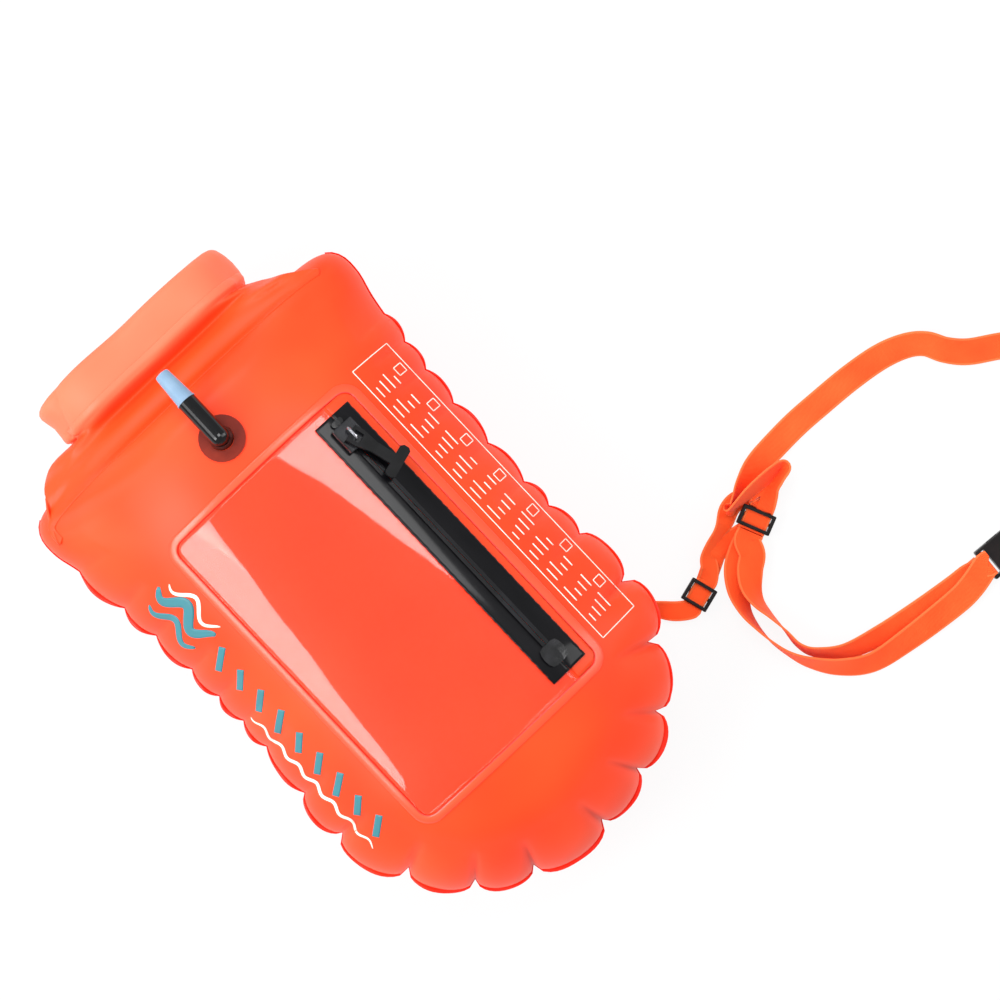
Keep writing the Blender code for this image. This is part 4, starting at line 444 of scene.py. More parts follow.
# %% [markdown]
# ## Shape of the inflated bag
# Two flat sheets welded round their edge puff up when air goes in: thick in the middle, thin at
# the weld, and the weld itself is drawn into lobes with a pinch between two of them. The outline
# is a smooth closed line with 25 pinches. Every point of the skin is found from the outline: it
# lies a share of the way from the bag's middle line to the edge, at the height of a round dome.
# Cloth with pressure would also puff, but here the lobes have to sit where the photograph has
# them, so the skin is drawn.

# %% Outline and dome
HALF_WIDTH = 0.1475
HALF_LENGTH = 0.244
MID_HEIGHT = 0.0825
SKIN_GAP = 0.0003
EDGE = 0.0008
FRONT_CROWN = 0.082
BACK_DEPTH = 0.0865
CROWN_HALF_WIDTH = 0.138
SPINE_TOP = 0.41 * HALF_LENGTH
SPINE_BOTTOM = -0.512 * HALF_LENGTH
LOBE_DEPTH = 0.014
LOBE_FULLNESS = 0.52
FULL_LOBE = (0.36, 0.75)
LOBE_POWER = 2.2
CREST_RISE = 0.15
DOME_POWER = 2.2
DOME_ROUNDNESS = 1.7
FLANK_START = 0.6
NORMAL_STEP = 0.003
HALF_OUTLINE = [
    (0, 0.783), (0.42, 0.783), (0.74, 0.781), (0.915, 0.766), (0.990, 0.726), (1.0, 0.655),
    (0.965, 0.56), (0.93, 0.40), (0.905, 0.245), (0.892, 0.08), (0.885, -0.08), (0.895, -0.24),
    (0.912, -0.39), (0.898, -0.54), (0.787, -0.72), (0.59, -0.877), (0.34, -0.96), (0, -1),
]
PINCHES = [
    0.157, 0.176, 0.195, 0.219, 0.248, 0.277, 0.296, 0.319, 0.354, 0.390, 0.428, 0.461, 0.495,
    0.540, 0.573, 0.610, 0.651, 0.681, 0.714, 0.733, 0.752, 0.773, 0.800, 0.823, 0.855,
]
LOBES = [
    0.26, 0.26, 0.30, 0.36, 0.36, 0.30, 0.34, 0.60, 1.0, 0.86, 0.72, 0.66,
    0.80, 0.66, 0.72, 0.86, 0.56, 0.36, 0.26, 0.26, 0.28, 0.34, 0.30, 0.34,
]


def closed_curve(points, steps):
    """Closed smooth curve through the points."""
    rows = np.array(points, dtype=float)
    corners = [np.roll(rows, -shift, 0) for shift in (-1, 0, 1, 2)]
    spans = [curve_point(*corners, t) for t in np.arange(steps) / steps]
    return np.stack(spans, axis=1).reshape(-1, 2)


half_outline = [(x * HALF_WIDTH, y * HALF_LENGTH) for x, y in HALF_OUTLINE]
outline = closed_curve(half_outline + [(-x, y) for x, y in reversed(half_outline[1:-1])], 24)
outline_loop = np.vstack([outline, outline[:1]])
outline_steps = np.linalg.norm(np.diff(outline_loop, axis=0), axis=1)
outline_travel = np.concatenate([[0.0], np.cumsum(outline_steps)])
outline_travel /= outline_travel[-1]


def outline_points(shares):
    """Points of the outline at shares of its whole length."""
    shares = np.asarray(shares) % 1.0
    columns = [np.interp(shares, outline_travel, column) for column in outline_loop.T]
    return np.stack(columns, axis=-1)


def outline_normals(shares):
    """Directions out of the bag at shares of the outline's length."""
    shares = np.asarray(shares)
    along = outline_points(shares + NORMAL_STEP) - outline_points(shares - NORMAL_STEP)
    along /= np.linalg.norm(along, axis=-1, keepdims=True)
    return np.stack([-along[..., 1], along[..., 0]], axis=-1)


def rim_samples(lobe_steps, top_steps):
    """Share, lobe depth and roundness (0 in a pinch, 1 on a crest) round the whole edge."""
    rows = []
    for start, end, size in zip(PINCHES, PINCHES[1:], LOBES):
        full = float(smooth_step(size, *FULL_LOBE))
        crest = size * LOBE_DEPTH * (1 - CREST_RISE + CREST_RISE * full)
        for part in np.arange(lobe_steps) / lobe_steps:
            swell = (1 - abs(2 * part - 1) ** LOBE_POWER) ** (1 - LOBE_FULLNESS * full)
            rows.append((start + (end - start) * part, crest * swell, swell))
    for part in np.arange(top_steps) / top_steps:
        share = PINCHES[-1] + (PINCHES[0] + 1.0 - PINCHES[-1]) * part
        rows.append((share, 0.0, min(1.0, 5 * min(part, 1 - part))))
    return np.array(rows)


def dome_height(distance, reach):
    """Share of the crown's height at a distance from the middle line; the edge is at reach."""
    ratio = np.clip(distance / reach, 0, 1)
    flank = smooth_step(ratio, FLANK_START, 1.0)
    level = distance * ((1 - flank) / CROWN_HALF_WIDTH + flank / reach)
    return np.maximum(0, 1 - np.clip(level, 0, 1) ** DOME_POWER) ** (1 / DOME_ROUNDNESS)


print("outline", len(outline), "points")
# %% [markdown]
# ## Coated fabric
# The bag is fabric coated with a soft plastic: smooth, with a broad satin gloss, and so thin that
# light that goes in comes out a little further on, which makes slopes that face the light look
# almost peach. The gloss is a clear coat over a slightly rough base. Colour varies gently with a
# large noise, and a very fine bump stands for the textile under the coating.

# %% Coated fabric finish
def coated_fabric(name, dark, middle, light, roughness, coat):
    """Satin fabric whose colour drifts between three shades, with a fine textile bump."""
    material, tree, shader = finish_of(name, middle, roughness, Specular_IOR_Level=0.22,
                                       Coat_Weight=coat, Coat_Roughness=0.30)
    tint(tree, shader, noise(tree, 9.0, 2.0), (0.30, dark), (0.52, middle), (0.75, light))
    textile = noise(tree, 1400.0, 2.0)
    waves = noise(tree, 42.0, 2.0, 0.4)
    bump(tree, shader, maths(tree, "MULTIPLY_ADD", waves, 6.0, textile), 0.00005, 0.6)
    return material


bag_finish = coated_fabric("coated_fabric", (255, 58, 14), (255, 66, 20),
                           (255, 76, 28), 0.5, 0.12)
# The roll's paler shades are painted light, for the roll that faces the lamps.
roll_finish = coated_fabric("coated_fabric_painted_light", (255, 100, 66), (255, 112, 80),
                            (255, 122, 90), 0.6, 0.05)
rim_finish = coated_fabric("welded_edge", (250, 32, 6), (255, 38, 10),
                           (255, 50, 16), 0.45, 0.2)
print("coated fabric finishes ready")

# %% [markdown]
# ## Skin of the two chambers
# Each chamber is one skin of rings from the weld to the middle line, close together at the weld
# where the shape turns fast. Three things are added to the plain dome: grooves that run in from
# each pinch, long shallow creases beside the roll where the fabric bends up, and slow waves that
# keep highlights from looking machined. All of them move real vertices. First come the formulas
# for the creases and the waves.

# %% Creases and waves
TOP_Y = outline[:, 1].max()
UNEVENNESS = 0.0004
WAVE_PITCHES = [0.052, 0.069, 0.086, 0.103, 0.120]
TOP_CREASE = 0.0007
TOP_CREASE_PITCH = 0.0145
TOP_CREASE_REACH = 0.030
TOP_CREASE_SIDES = (0.05, 0.12)
TOP_CREASE_BEND = 0.006


def hump(value, centre, reach):
    """Bell curve: 1 at the centre, almost nothing two reaches away."""
    return np.exp(-((value - centre) / reach) ** 2)


def slow_waves(x, y, seed):
    """Gentle unevenness between -1 and 1, a sum of slanted waves."""
    total = 0
    for k, pitch in enumerate(WAVE_PITCHES):
        turn = 1.3 * k + seed
        along = x * math.cos(turn) + y * math.sin(turn)
        total = total + np.sin(along / pitch * math.tau + 2.1 * k + seed)
    return total / len(WAVE_PITCHES)


def top_creases(x, y):
    """Folds beside the roll, nearly along X, strongest near the bag's two top corners."""
    down = TOP_Y - y
    side = 0.25 + 0.75 * smooth_step(np.abs(x), *TOP_CREASE_SIDES)
    bend = TOP_CREASE_BEND * np.sin(x * 31) + 0.10 * np.abs(x)
    fine = np.sin((down + bend) / TOP_CREASE_PITCH * math.tau)
    return hump(down, 0.0, TOP_CREASE_REACH) * side * fine


print("top edge of the bag at", round(float(TOP_Y), 4))

# %% [markdown]
# The rings are shares of the way from the edge to the middle line. A share is turned into a ratio
# that runs slowly at first, so that the rings crowd at the weld. Under the window the fabric is
# taut, and the waves die down there.

# %% Chamber skins
RING_CROWDING = 1.45
LAST_RATIO = 0.014
LOBE_FADE = 0.76
PUCKER = 0.045
PUCKER_RATIO = 0.91
PUCKER_REACH = 0.11
GROOVE = 0.0007
GROOVE_RATIO = 0.90
GROOVE_REACH = 0.06
TAUT_Y = -0.0275
TAUT_X_REACH = (-0.115, -0.080)
TAUT_Y_REACH = (-0.165, -0.125)


def skin_rings(lobe_steps, top_steps, ring_count, crown, front):
    """Rings of (x, y, height over the weld) from the edge to the middle line."""
    shares, depths, rounds = rim_samples(lobe_steps, top_steps).T
    edges = outline_points(shares)
    normals = outline_normals(shares)
    spine = np.clip(edges[:, 1], SPINE_BOTTOM, SPINE_TOP)
    feet = np.stack([np.zeros(len(shares)), spine], axis=1)
    reach = np.linalg.norm(edges - feet, axis=1)
    lobed = (depths > 0) | (rounds == 0)
    rings = []
    for step in np.linspace(0, 1, ring_count):
        ratio = 1 - (1 - LAST_RATIO) * step ** RING_CROWDING
        bulge = depths * smooth_step(ratio, LOBE_FADE, 1.0)
        plan = feet + (edges - feet) * ratio + normals * bulge[:, None]
        x, y = plan.T
        swell = max(0.0, 1 - ((ratio - PUCKER_RATIO) / PUCKER_REACH) ** 2)
        height = crown * dome_height(reach * ratio, reach) * (1 - PUCKER * (1 - rounds) * swell)
        calm = smooth_step(1 - ratio, 0.0, 0.10)
        groove = hump(ratio, GROOVE_RATIO, GROOVE_REACH) * (1 - rounds) ** 2.2 * lobed
        height = height - GROOVE * groove * calm
        taut = (smooth_step(-np.abs(x), *TAUT_X_REACH)
                * smooth_step(-np.abs(y - TAUT_Y), *TAUT_Y_REACH))
        waves = slow_waves(x, y, 0.6 if front else 2.2) * (1 - 0.85 * taut)
        height = height + UNEVENNESS * waves * calm
        if front:
            height = height + TOP_CREASE * top_creases(x, y) * calm
        rings.append(np.stack([x, y, np.maximum(height, 0)], axis=1))
    return rings


def chamber_skin(name, node, front):
    """Closed skin of one chamber, with its flat inner face."""
    side = 1 if front else -1
    crown = (FRONT_CROWN if front else BACK_DEPTH) - EDGE
    inner_face = MID_HEIGHT + side * SKIN_GAP
    rings = skin_rings(14, 120, 52, crown, front)
    flat = rings[0].copy()
    flat[:, 2] = inner_face
    world = [flat]
    for ring in rings:
        height = np.maximum(0.0, inner_face + side * (EDGE + ring[:, 2]))
        world.append(np.column_stack([ring[:, :2], height]))
    if not front:
        world = [ring[::-1] for ring in world]
    faces = joined_rings(world, caps=True)
    skin = piece_from(name, node, np.vstack(world), faces, bag_finish, "coated_fabric_orange")
    return skin


front_skin = chamber_skin("front_skin", "front_air_chamber", True)
chamber_skin("back_skin", "back_air_chamber", False)

# %% [markdown]
# ## Welded rim
# Round the lobes the two sheets continue past the weld as a thin flat flange. It is widest on a
# lobe's crest and almost nothing in a pinch, and two thicknesses of fabric together look darker.

# %% Welded rim
RIM_START = 0.105
RIM_SECTION = [(-0.0022, 0.00018), (0.0, 0.00022), (0.0007, 0.0005), (0.6, 0.0006), (1.0, 0.0005)]
RIM_LEAST = 0.0009
RIM_MORE = 0.0026
RIM_NARROW_SIDE = 0.42
RIM_FLUTTER = 0.0005
RIM_TIP = 0.0002


def welded_rim():
    """Flange from between the two skins outward; a section row is (reach, half thickness)."""
    rows = rim_samples(14, 80)
    rows[:, 0] %= 1.0
    rows = rows[np.argsort(rows[:, 0])]
    rows = rows[(rows[:, 0] > RIM_START) & (rows[:, 0] < 1 - RIM_START)]
    shares, depths, rounds = rows.T
    lobed = (shares >= PINCHES[0]) & (shares <= PINCHES[-1])
    normals = outline_normals(shares)
    uneven = 0.75 + 0.25 * np.sin(shares * 61) * np.sin(shares * 143 + 1)
    narrow = np.where(shares < RIM_NARROW_SIDE, 0.45, 1.0)
    width = RIM_LEAST + RIM_MORE * rounds * lobed * uneven * narrow
    edge = outline_points(shares) + normals * depths[:, None]
    flutter = RIM_FLUTTER * np.sin(np.arange(len(shares)) * 0.7) * rounds
    rings = []
    for near, normal, reach, lift in zip(edge, normals, width, flutter):
        low, high = [], []
        for share, half in RIM_SECTION:
            out = share * reach if share > 0.01 else share
            middle = MID_HEIGHT + lift * max(0.0, out / reach)
            spot = near + normal * out
            low.append((*spot, middle - half))
            high.append((*spot, middle + half))
        tip = near + normal * (reach + RIM_TIP)
        rings.append(low + [(*tip, MID_HEIGHT + lift)] + high[::-1])
    return np.vstack(rings), joined_rings(rings, caps=True)


piece_from("welded_rim", "perimeter_weld_rim", *welded_rim(), rim_finish, "weld_rim_red")

# %% [markdown]
# ## Laying things on a curved surface
# The neck, the window, its weld frame, the zip and the painted motifs all follow the front skin.
# A ray cast straight down on the finished skin gives the height under any point, so whatever is
# laid there follows its creases too. A shrinkwrap modifier would do the same, but casting the
# rays here sets the height and the small gap at once. A second helper turns the front and back
# points of a sheet into one closed mesh.

# %% Height of the front skin, and closed sheets
def tree_of(piece):
    """Tree of a piece's faces that rays can be cast on."""
    return BVHTree.FromPolygons([v.co for v in piece.data.vertices],
                                [p.vertices[:] for p in piece.data.polygons])


skin_tree = tree_of(front_skin)


def on_skin(x, y, lift=0.0):
    """Point over the front skin, in drawing coordinates."""
    start = Vector((x, y, 1.0)) + DRAWING_SHIFT
    hit = skin_tree.ray_cast(start, Vector((0, 0, -1)))[0]
    height = hit.z if hit is not None else MID_HEIGHT
    return Vector((x, y, height + lift))


def two_sided(front, back, columns, rows):
    """Points and closed faces of a sheet from its front and back points, row by row."""
    faces = joined_rings([range(columns)] * rows, around=False)
    count = columns * rows
    faces += [tuple(count + index for index in reversed(face)) for face in faces]
    loop = [*range(columns - 1), *range(columns - 1, count - 1, columns),
            *range(count - 1, count - columns, -1), *range(count - columns, 0, -columns)]
    for near, after in zip(loop, loop[1:] + loop[:1]):
        faces.append((after, near, count + near, count + after))
    return list(front) + list(back), faces


print("skin height at the valve", round(on_skin(0, 0.133).z, 4))

# %% [markdown]
# ## Roll top and neck
# The neck of the dry bag is rolled two and a half times round a stiff strip, and the roll is bent
# back so that its ends meet behind the bag. Seen from the front it is a long soft band with
# folded-back ends, and its colour is painted paler than the bag: painted light for the side that
# faces the lamps. The roll is one spiral section swept along a bent path; the turns can't be made
# by a modifier, because each lies on the last.

# %% Roll top
NECK_LENGTH = 0.0158
ROLL_HALF_SPAN = 0.0765
ROLL_CORNER = 0.035
ROLL_FRONT = 0.113
ROLL_BACK_RUN = 0.010
ROLL_HEIGHT = 0.038
ROLL_DEPTH = 0.022
ROLL_LAYER = 0.0012
ROLL_PITCH = 0.0033
ROLL_TURNS = 2.5
ROLL_ROUNDNESS = 0.6
ROLL_STRAIGHT = ROLL_HALF_SPAN - ROLL_CORNER
ROLL_CENTRE_Z = ROLL_FRONT - ROLL_CORNER
ROLL_Y = TOP_Y + NECK_LENGTH + ROLL_HEIGHT / 2


def roll_path(corner_steps, straight_steps):
    """Rows (x, z, and both parts of the outward normal) of the bent roll, right end to left."""
    rows = [(ROLL_STRAIGHT - ROLL_BACK_RUN * (1 - t), ROLL_CENTRE_Z - ROLL_CORNER, 0.0, -1.0)
            for t in np.arange(4) / 4]
    for turn in np.linspace(-math.pi / 2, math.pi / 2, corner_steps + 1):
        a, b = math.cos(turn), math.sin(turn)
        rows.append((ROLL_STRAIGHT + ROLL_CORNER * a, ROLL_CENTRE_Z + ROLL_CORNER * b, a, b))
    half = straight_steps // 2
    rows += [(ROLL_STRAIGHT * (1 - t), ROLL_FRONT, 0.0, 1.0) for t in np.arange(1, half) / half]
    mirrored = [(-x, z, -a, b) for x, z, a, b in reversed(rows)]
    return rows + [(0.0, ROLL_FRONT, 0.0, 1.0)] + mirrored


def spiral_section(per_turn):
    """Closed section (along the bag, out of the roll) of a strip rolled up over its front."""
    outer, inner = [], []
    for index in range(int(per_turn * ROLL_TURNS) + 1):
        turns = index / per_turn
        angle = math.pi - math.tau * turns
        for line, inset in ((outer, 0.0), (inner, ROLL_LAYER)):
            along = ROLL_HEIGHT / 2 - ROLL_PITCH * turns - inset
            out = ROLL_DEPTH / 2 - ROLL_PITCH * turns - inset
            c, s = math.cos(angle), math.sin(angle)
            line.append((along * math.copysign(abs(c) ** ROLL_ROUNDNESS, c),
                         out * math.copysign(abs(s) ** ROLL_ROUNDNESS, s)))
    return inner + outer[::-1]


print("roll centre at y", round(float(ROLL_Y), 4))

# %% [markdown]
# The path and the section alone would give a machined roll. Near each end a slanted crease shows
# where the roll is folded back, the corner past it stands out a little, and small waves along the
# whole roll stand for cloth that was rolled by hand.

# %% Roll top, swept
EAR_CREASE = 0.0725
EAR_SKEW = -0.56
EAR_DEPTH, EAR_REACH = 0.0042, 0.0024
OTHER_EAR_CREASE = 0.0765
OTHER_EAR_SKEW = -0.3
OTHER_EAR_DEPTH, OTHER_EAR_REACH = 0.0022, 0.0030
CORNER_LOW, CORNER_MORE = 0.0010, 0.0038
SAG, FINE_SAG, SOFT = 0.0005, 0.0003, 0.0005
SAG_START = 0.012


def end_folds(from_middle, along):
    """How far the roll's surface moves out (or in, below zero) beside its folded ends."""
    ear = from_middle - EAR_CREASE - EAR_SKEW * along
    other = -from_middle - OTHER_EAR_CREASE - OTHER_EAR_SKEW * along
    folds = (-EAR_DEPTH * hump(ear, 0.0, EAR_REACH)
             - OTHER_EAR_DEPTH * hump(other, 0.0, OTHER_EAR_REACH))
    corner = CORNER_LOW + CORNER_MORE * smooth_step(along, 0.0, 0.015)
    return folds + corner * smooth_step(ear, 0.002, 0.010)


def rolled_top():
    """Points and faces of the spiral section swept along the bent path."""
    section = spiral_section(28)
    path = roll_path(26, 40)
    spots = [Vector(row[:2]) for row in path]
    travel = np.cumsum([0.0] + [(b - a).length for a, b in zip(spots, spots[1:])])
    rings = []
    for (x, z, a, b), run in zip(path, travel):
        sag = SAG * math.sin(run * 34) + FINE_SAG * math.sin(run * 97 + 1)
        ring = []
        for along, out in section:
            soft = SOFT * math.sin(along * 210 + 3 * math.sin(run * 40))
            push = end_folds(run - travel[-1] / 2, along) + soft
            reach = out + push * max(0.0, out) / (ROLL_DEPTH / 2)
            y = ROLL_Y + along + sag * (along > SAG_START)
            ring.append((x + a * reach, y, z + b * reach))
        rings.append(ring)
    return np.vstack(rings), joined_rings(rings, caps=True)


roll = piece_from("rolled_top", "roll_top", *rolled_top(), roll_finish, "coated_fabric_roll")

# %% [markdown]
# The neck leaves the front chamber a little inside its top edge, dips into a shallow valley and
# rises over the front of the roll, where it becomes the roll's outer turn. Its end is thinned and
# laid on the roll, so that the two read as one cloth. Fine creases run along the valley, mostly
# near both corners, where the cloth is gathered. The left corner bulges past the chamber.

# %% Neck
NECK_THICKNESS = 0.0012
NECK_SHARE = (-0.128, 0.100)
NECK_VALLEY = 0.107
NECK_REACH = math.radians(80)
NECK_BULGE = 0.014
NECK_CREASE = 0.0017
NECK_COLUMNS = 150
NECK_FEET = [(0.0150, 0.0002), (0.0100, 0.0008)]
NECK_HEADS = [(-0.0180, 0.0008), (-0.0140, 0.0009), (-0.0090, 0.0004)]
roll_tree = tree_of(roll)


def on_roll(travel, along, lift):
    """Point over the roll at a signed distance from its middle, in drawing coordinates."""
    side = math.copysign(1.0, travel)
    turn = max(0.0, abs(travel) - ROLL_STRAIGHT) / ROLL_CORNER
    normal = Vector((side * math.sin(turn), 0, math.cos(turn)))
    centre = Vector((side * min(abs(travel), ROLL_STRAIGHT), ROLL_Y + along, ROLL_CENTRE_Z))
    start = centre + normal * (ROLL_CORNER + ROLL_DEPTH) + DRAWING_SHIFT
    hit = roll_tree.ray_cast(start, -normal)[0]
    return hit - DRAWING_SHIFT + normal * lift


def neck_column(side):
    """Smooth line of the neck from the chamber to the roll; side runs from -1 to 1."""
    share = NECK_SHARE[side > 0] * abs(side)
    edge = Vector(outline_points(share))
    out = Vector(outline_normals(share))
    travel = side * (ROLL_STRAIGHT + NECK_REACH * ROLL_CORNER)
    laid = [on_skin(*(edge - out * inset), lift) for inset, lift in NECK_FEET]
    rolled = [on_roll(travel, along, lift) for along, lift in NECK_HEADS]
    drop = laid[1].lerp(rolled[0], 0.40)
    valley = laid[1].lerp(rolled[0], 0.76)
    bulge = NECK_BULGE * float(smooth_step(-side, 0.72, 1.0))
    for spot, part in ((drop, 0.7), (valley, 1.0)):
        spot.x -= bulge * part
        spot.y += bulge * part * 0.6
    depth = 1 - 0.75 * abs(side) ** 3
    drop.z = laid[1].z - 0.35 * max(0.0, laid[1].z - NECK_VALLEY) * depth
    valley.z -= max(0.0, valley.z - NECK_VALLEY) * depth
    return smooth_line(laid + [drop, valley] + rolled, 7)


def neck_folds(side, rise):
    """How far the creases lift the neck, at a share of its width and of its length."""
    wide = float(smooth_step(abs(side), 0.50, 0.88))
    gathered = float(smooth_step(abs(side), 0.62, 0.92))
    fold = math.sin(rise * 31 + 3.1 * side + 0.9 * math.sin(side * 8))
    pinch = math.sin(rise * 53 - 5.0 * side) * gathered
    loose = math.sin(math.pi * rise) ** 2
    return NECK_CREASE * (0.15 + 0.85 * wide) * loose * (0.3 + fold + 0.45 * pinch)


sides = np.linspace(-1, 1, NECK_COLUMNS + 1)
neck_lines = [neck_column(side) for side in sides]
neck_rises = np.linspace(0, 1, len(neck_lines[0]))
neck_grid = [[Vector(line[level]) + Vector((0, 0, neck_folds(side, rise)))
              for side, line in zip(sides, neck_lines)] for level, rise in enumerate(neck_rises)]
print("neck grid", len(neck_grid), "by", len(neck_grid[0]))

# %% [markdown]
# The grid is the neck's middle surface. Half its thickness goes to the front and half to the
# back, and less at both ends. The colour is painted paler where the neck meets the roll, as
# painted light that blends into the roll's painted light.

# %% Neck sheet
neck_front, neck_back = [], []
for level, rise in enumerate(neck_rises):
    row = neck_grid[level]
    above = neck_grid[min(level + 1, len(neck_grid) - 1)]
    below = neck_grid[max(level - 1, 0)]
    half = NECK_THICKNESS / 2 * (1 - 0.75 * (2 * rise - 1) ** 6)
    for column, point in enumerate(row):
        across = row[min(column + 1, NECK_COLUMNS)] - row[max(column - 1, 0)]
        normal = across.cross(above[column] - below[column]).normalized() * half
        neck_front.append(point + normal)
        neck_back.append(point - normal)

neck_finish, neck_tree, neck_shader = finish_of(
    "coated_fabric_neck", (255, 66, 20), 0.5, Specular_IOR_Level=0.22, Coat_Weight=0.1,
    Coat_Roughness=0.3)
neck_rise = maths(neck_tree, "MULTIPLY_ADD", noise(neck_tree, 14.0, 2.0), 0.16,
                  texture_map(neck_tree)[1])
# The ramp paints the neck paler towards the roll: painted light that blends into the roll's.
tint(neck_tree, neck_shader, neck_rise, (0.15, (255, 66, 20)), (0.50, (255, 74, 28)),
     (0.66, (255, 72, 28)), (0.84, (255, 108, 74)), (1.0, (255, 112, 80)))
bump(neck_tree, neck_shader, noise(neck_tree, 1400.0, 2.0), 0.00005, 0.6)

neck_uvs = [((side + 1) / 2, rise) for rise in neck_rises for side in sides] * 2
neck = piece_from("neck_sheet", "neck_panel",
                  *two_sided(neck_front, neck_back, len(sides), len(neck_rises)),
                  neck_finish, "coated_fabric_orange", uvs=neck_uvs)

# %% [markdown]
# Behind the bag the roll's ends are held together by two short webbing tabs, each doubled round
# the bar of its half of the buckle.

# %% Roll tabs
ROLL_TAB_WAY = [
    (31.2, 225.92, 44.05, 0), (26.55, 225.92, 44.35, 0), (21.9, 225.92, 46.04, 0),
    (18.85, 225.92, 46.04, 0), (17.95, 225.92, 45.14, 0), (17.95, 225.92, 40.86, 0),
    (18.85, 225.92, 39.96, 0), (21.9, 225.92, 39.96, 0), (26.55, 225.92, 41.65, 0),
    (31.2, 225.92, 41.95, 0),
]
for name, side in (("right", 1), ("left", -1)):
    way = [(side * x, y, z, lean) for x, y, z, lean in ROLL_TAB_WAY]
    strap("roll_tab_webbing_" + name, "roll_tab_" + name, way, *BELT)

# %% [markdown]
# ## Clear window film
# A soft clear film is welded over a pocket. It is nearly invisible where it reflects nothing and
# shines like glass where it reflects the lamps. Full refraction through a thin film would darken
# what lies under it, so the film is a glossy shader that lets most light straight through, with a
# clear coat for the sharp reflection. A slit in it lies under the zip. The narrow strip past the
# zip is pressed flat on the fabric, so it hides more and reflects less.

# %% Film finish and film
FILM_X = (-0.078, 0.085)
FILM_Y = (-0.1555, 0.1004)
FILM_CORNER = 0.008
OVERLAY_GAP = 0.0005
FILM_THICKNESS = 0.0006
FILM_ROWS = 97
ZIP_X = 0.065
SLIT_HALF = 0.001

film_finish, film_tree, film_shader = finish_of(
    "clear_film", (255, 66, 20), 0.04, Alpha=0.20, IOR=2.0, Coat_Weight=0.5, Coat_Roughness=0.02)
bump(film_tree, film_shader, noise(film_tree, 17.0, 1.0, 0.3), 0.0005, 0.4)
border_finish = finish_of("clear_film_border", (255, 80, 34), 0.35, Alpha=0.60, IOR=1.4)[0]


def laid_sheet(name, node, rows, low, high, material, slot):
    """Sheet through rows of (x, y), between two heights over the skin, stretched on a piece."""
    front = [on_skin(x, y, high) for row in rows for x, y in row]
    back = [on_skin(x, y, low) for row in rows for x, y in row]
    uvs = [(x, y) for row in rows for x, y in row] * 2
    vertices, faces = two_sided(front, back, len(rows[0]), len(rows))
    piece = piece_from(name, node, vertices, faces, material, slot, uvs=uvs)


def film_part(name, x_low, x_high, columns, material):
    """One side of the film, drawn in at its rounded corners; the slit lies between the two."""
    rows = []
    for y in np.linspace(*FILM_Y, FILM_ROWS):
        past_corner = max(0.0, FILM_CORNER - min(y - FILM_Y[0], FILM_Y[1] - y))
        inset = FILM_CORNER - math.sqrt(FILM_CORNER ** 2 - past_corner ** 2)
        left = max(x_low, FILM_X[0] + inset)
        right = min(x_high, FILM_X[1] - inset)
        rows.append([(x, y) for x in np.linspace(left, right, columns + 1)])
    laid_sheet(name, "phone_window_film", rows, OVERLAY_GAP, OVERLAY_GAP + FILM_THICKNESS,
               material, "clear_film")


film_part("window_film_left", FILM_X[0], ZIP_X - SLIT_HALF, 52, film_finish)
film_part("window_film_right", ZIP_X + SLIT_HALF, FILM_X[1], 10, border_finish)

# %% [markdown]
# ## Weld frame round the window
# The film's border is pressed into the fabric by a hot tool, which leaves a raised band with a
# darker line on its inner side.

# %% Weld frame
WELT_WIDTH = 0.0062
WELT_THICKNESS = 0.0011
WELT_LOW_SHARE = 0.35
WELT_PROFILE = [(0.0, 0.25), (0.06, 0.72), (0.2, 0.95), (0.5, 1.0), (0.8, 0.95), (0.94, 0.72),
                (1.0, 0.25)]
welt_finish, welt_tree, welt_shader = finish_of(
    "weld_frame", (255, 72, 26), 0.4, Coat_Weight=0.4, Coat_Roughness=0.2)
tint(welt_tree, welt_shader, texture_map(welt_tree)[1], (0.0, (226, 26, 6)),
     (0.10, (240, 36, 10)), (0.20, (255, 74, 28)), (1.0, (255, 68, 22)))
bump(welt_tree, welt_shader, noise(welt_tree, 260.0, 2.0), 0.0002, 0.5)


def rounded_loop(grow, side_steps=60, corner_steps=8):
    """Loop of the film's rounded outline, grown outward."""
    radius = FILM_CORNER + grow
    left, right = FILM_X[0] + FILM_CORNER, FILM_X[1] - FILM_CORNER
    low, high = FILM_Y[0] + FILM_CORNER, FILM_Y[1] - FILM_CORNER
    corners = []
    for quarter, (x, y) in enumerate([(right, high), (left, high), (left, low), (right, low)]):
        turns = np.radians(90 * quarter + np.linspace(0, 90, corner_steps + 1))
        corners.append(np.column_stack([x + radius * np.cos(turns), y + radius * np.sin(turns)]))
    points = []
    for corner, after in zip(corners, corners[1:] + corners[:1]):
        shares = (np.arange(1, side_steps) / side_steps)[:, None]
        points += [corner, corner[-1] + (after[0] - corner[-1]) * shares]
    return np.vstack(points)


def weld_frame():
    """Low rounded band between the film's edge and its outer line."""
    loops = [rounded_loop(SKIN_GAP + WELT_WIDTH * share) for share, height in WELT_PROFILE]
    rings, uvs = [], []
    for index, (x, y) in enumerate(loops[0]):
        left_side = smooth_step(-x, -0.03, 0.06)
        top_side = smooth_step(y, 0.02, 0.09) * smooth_step(-x, -0.085, -0.06)
        raised = WELT_LOW_SHARE + (1 - WELT_LOW_SHARE) * float(max(left_side, top_side))
        top = [on_skin(*loop[index], OVERLAY_GAP + WELT_THICKNESS * raised * height)
               for loop, (share, height) in zip(loops, WELT_PROFILE)]
        base = [on_skin(*loop[index], OVERLAY_GAP) for loop in (loops[-1], loops[0])]
        rings.append(top + base)
        uvs += [(index, share) for share, height in WELT_PROFILE] + [(index, 1.0), (index, 0.0)]
    return np.vstack(rings), joined_rings(rings, along=True), uvs


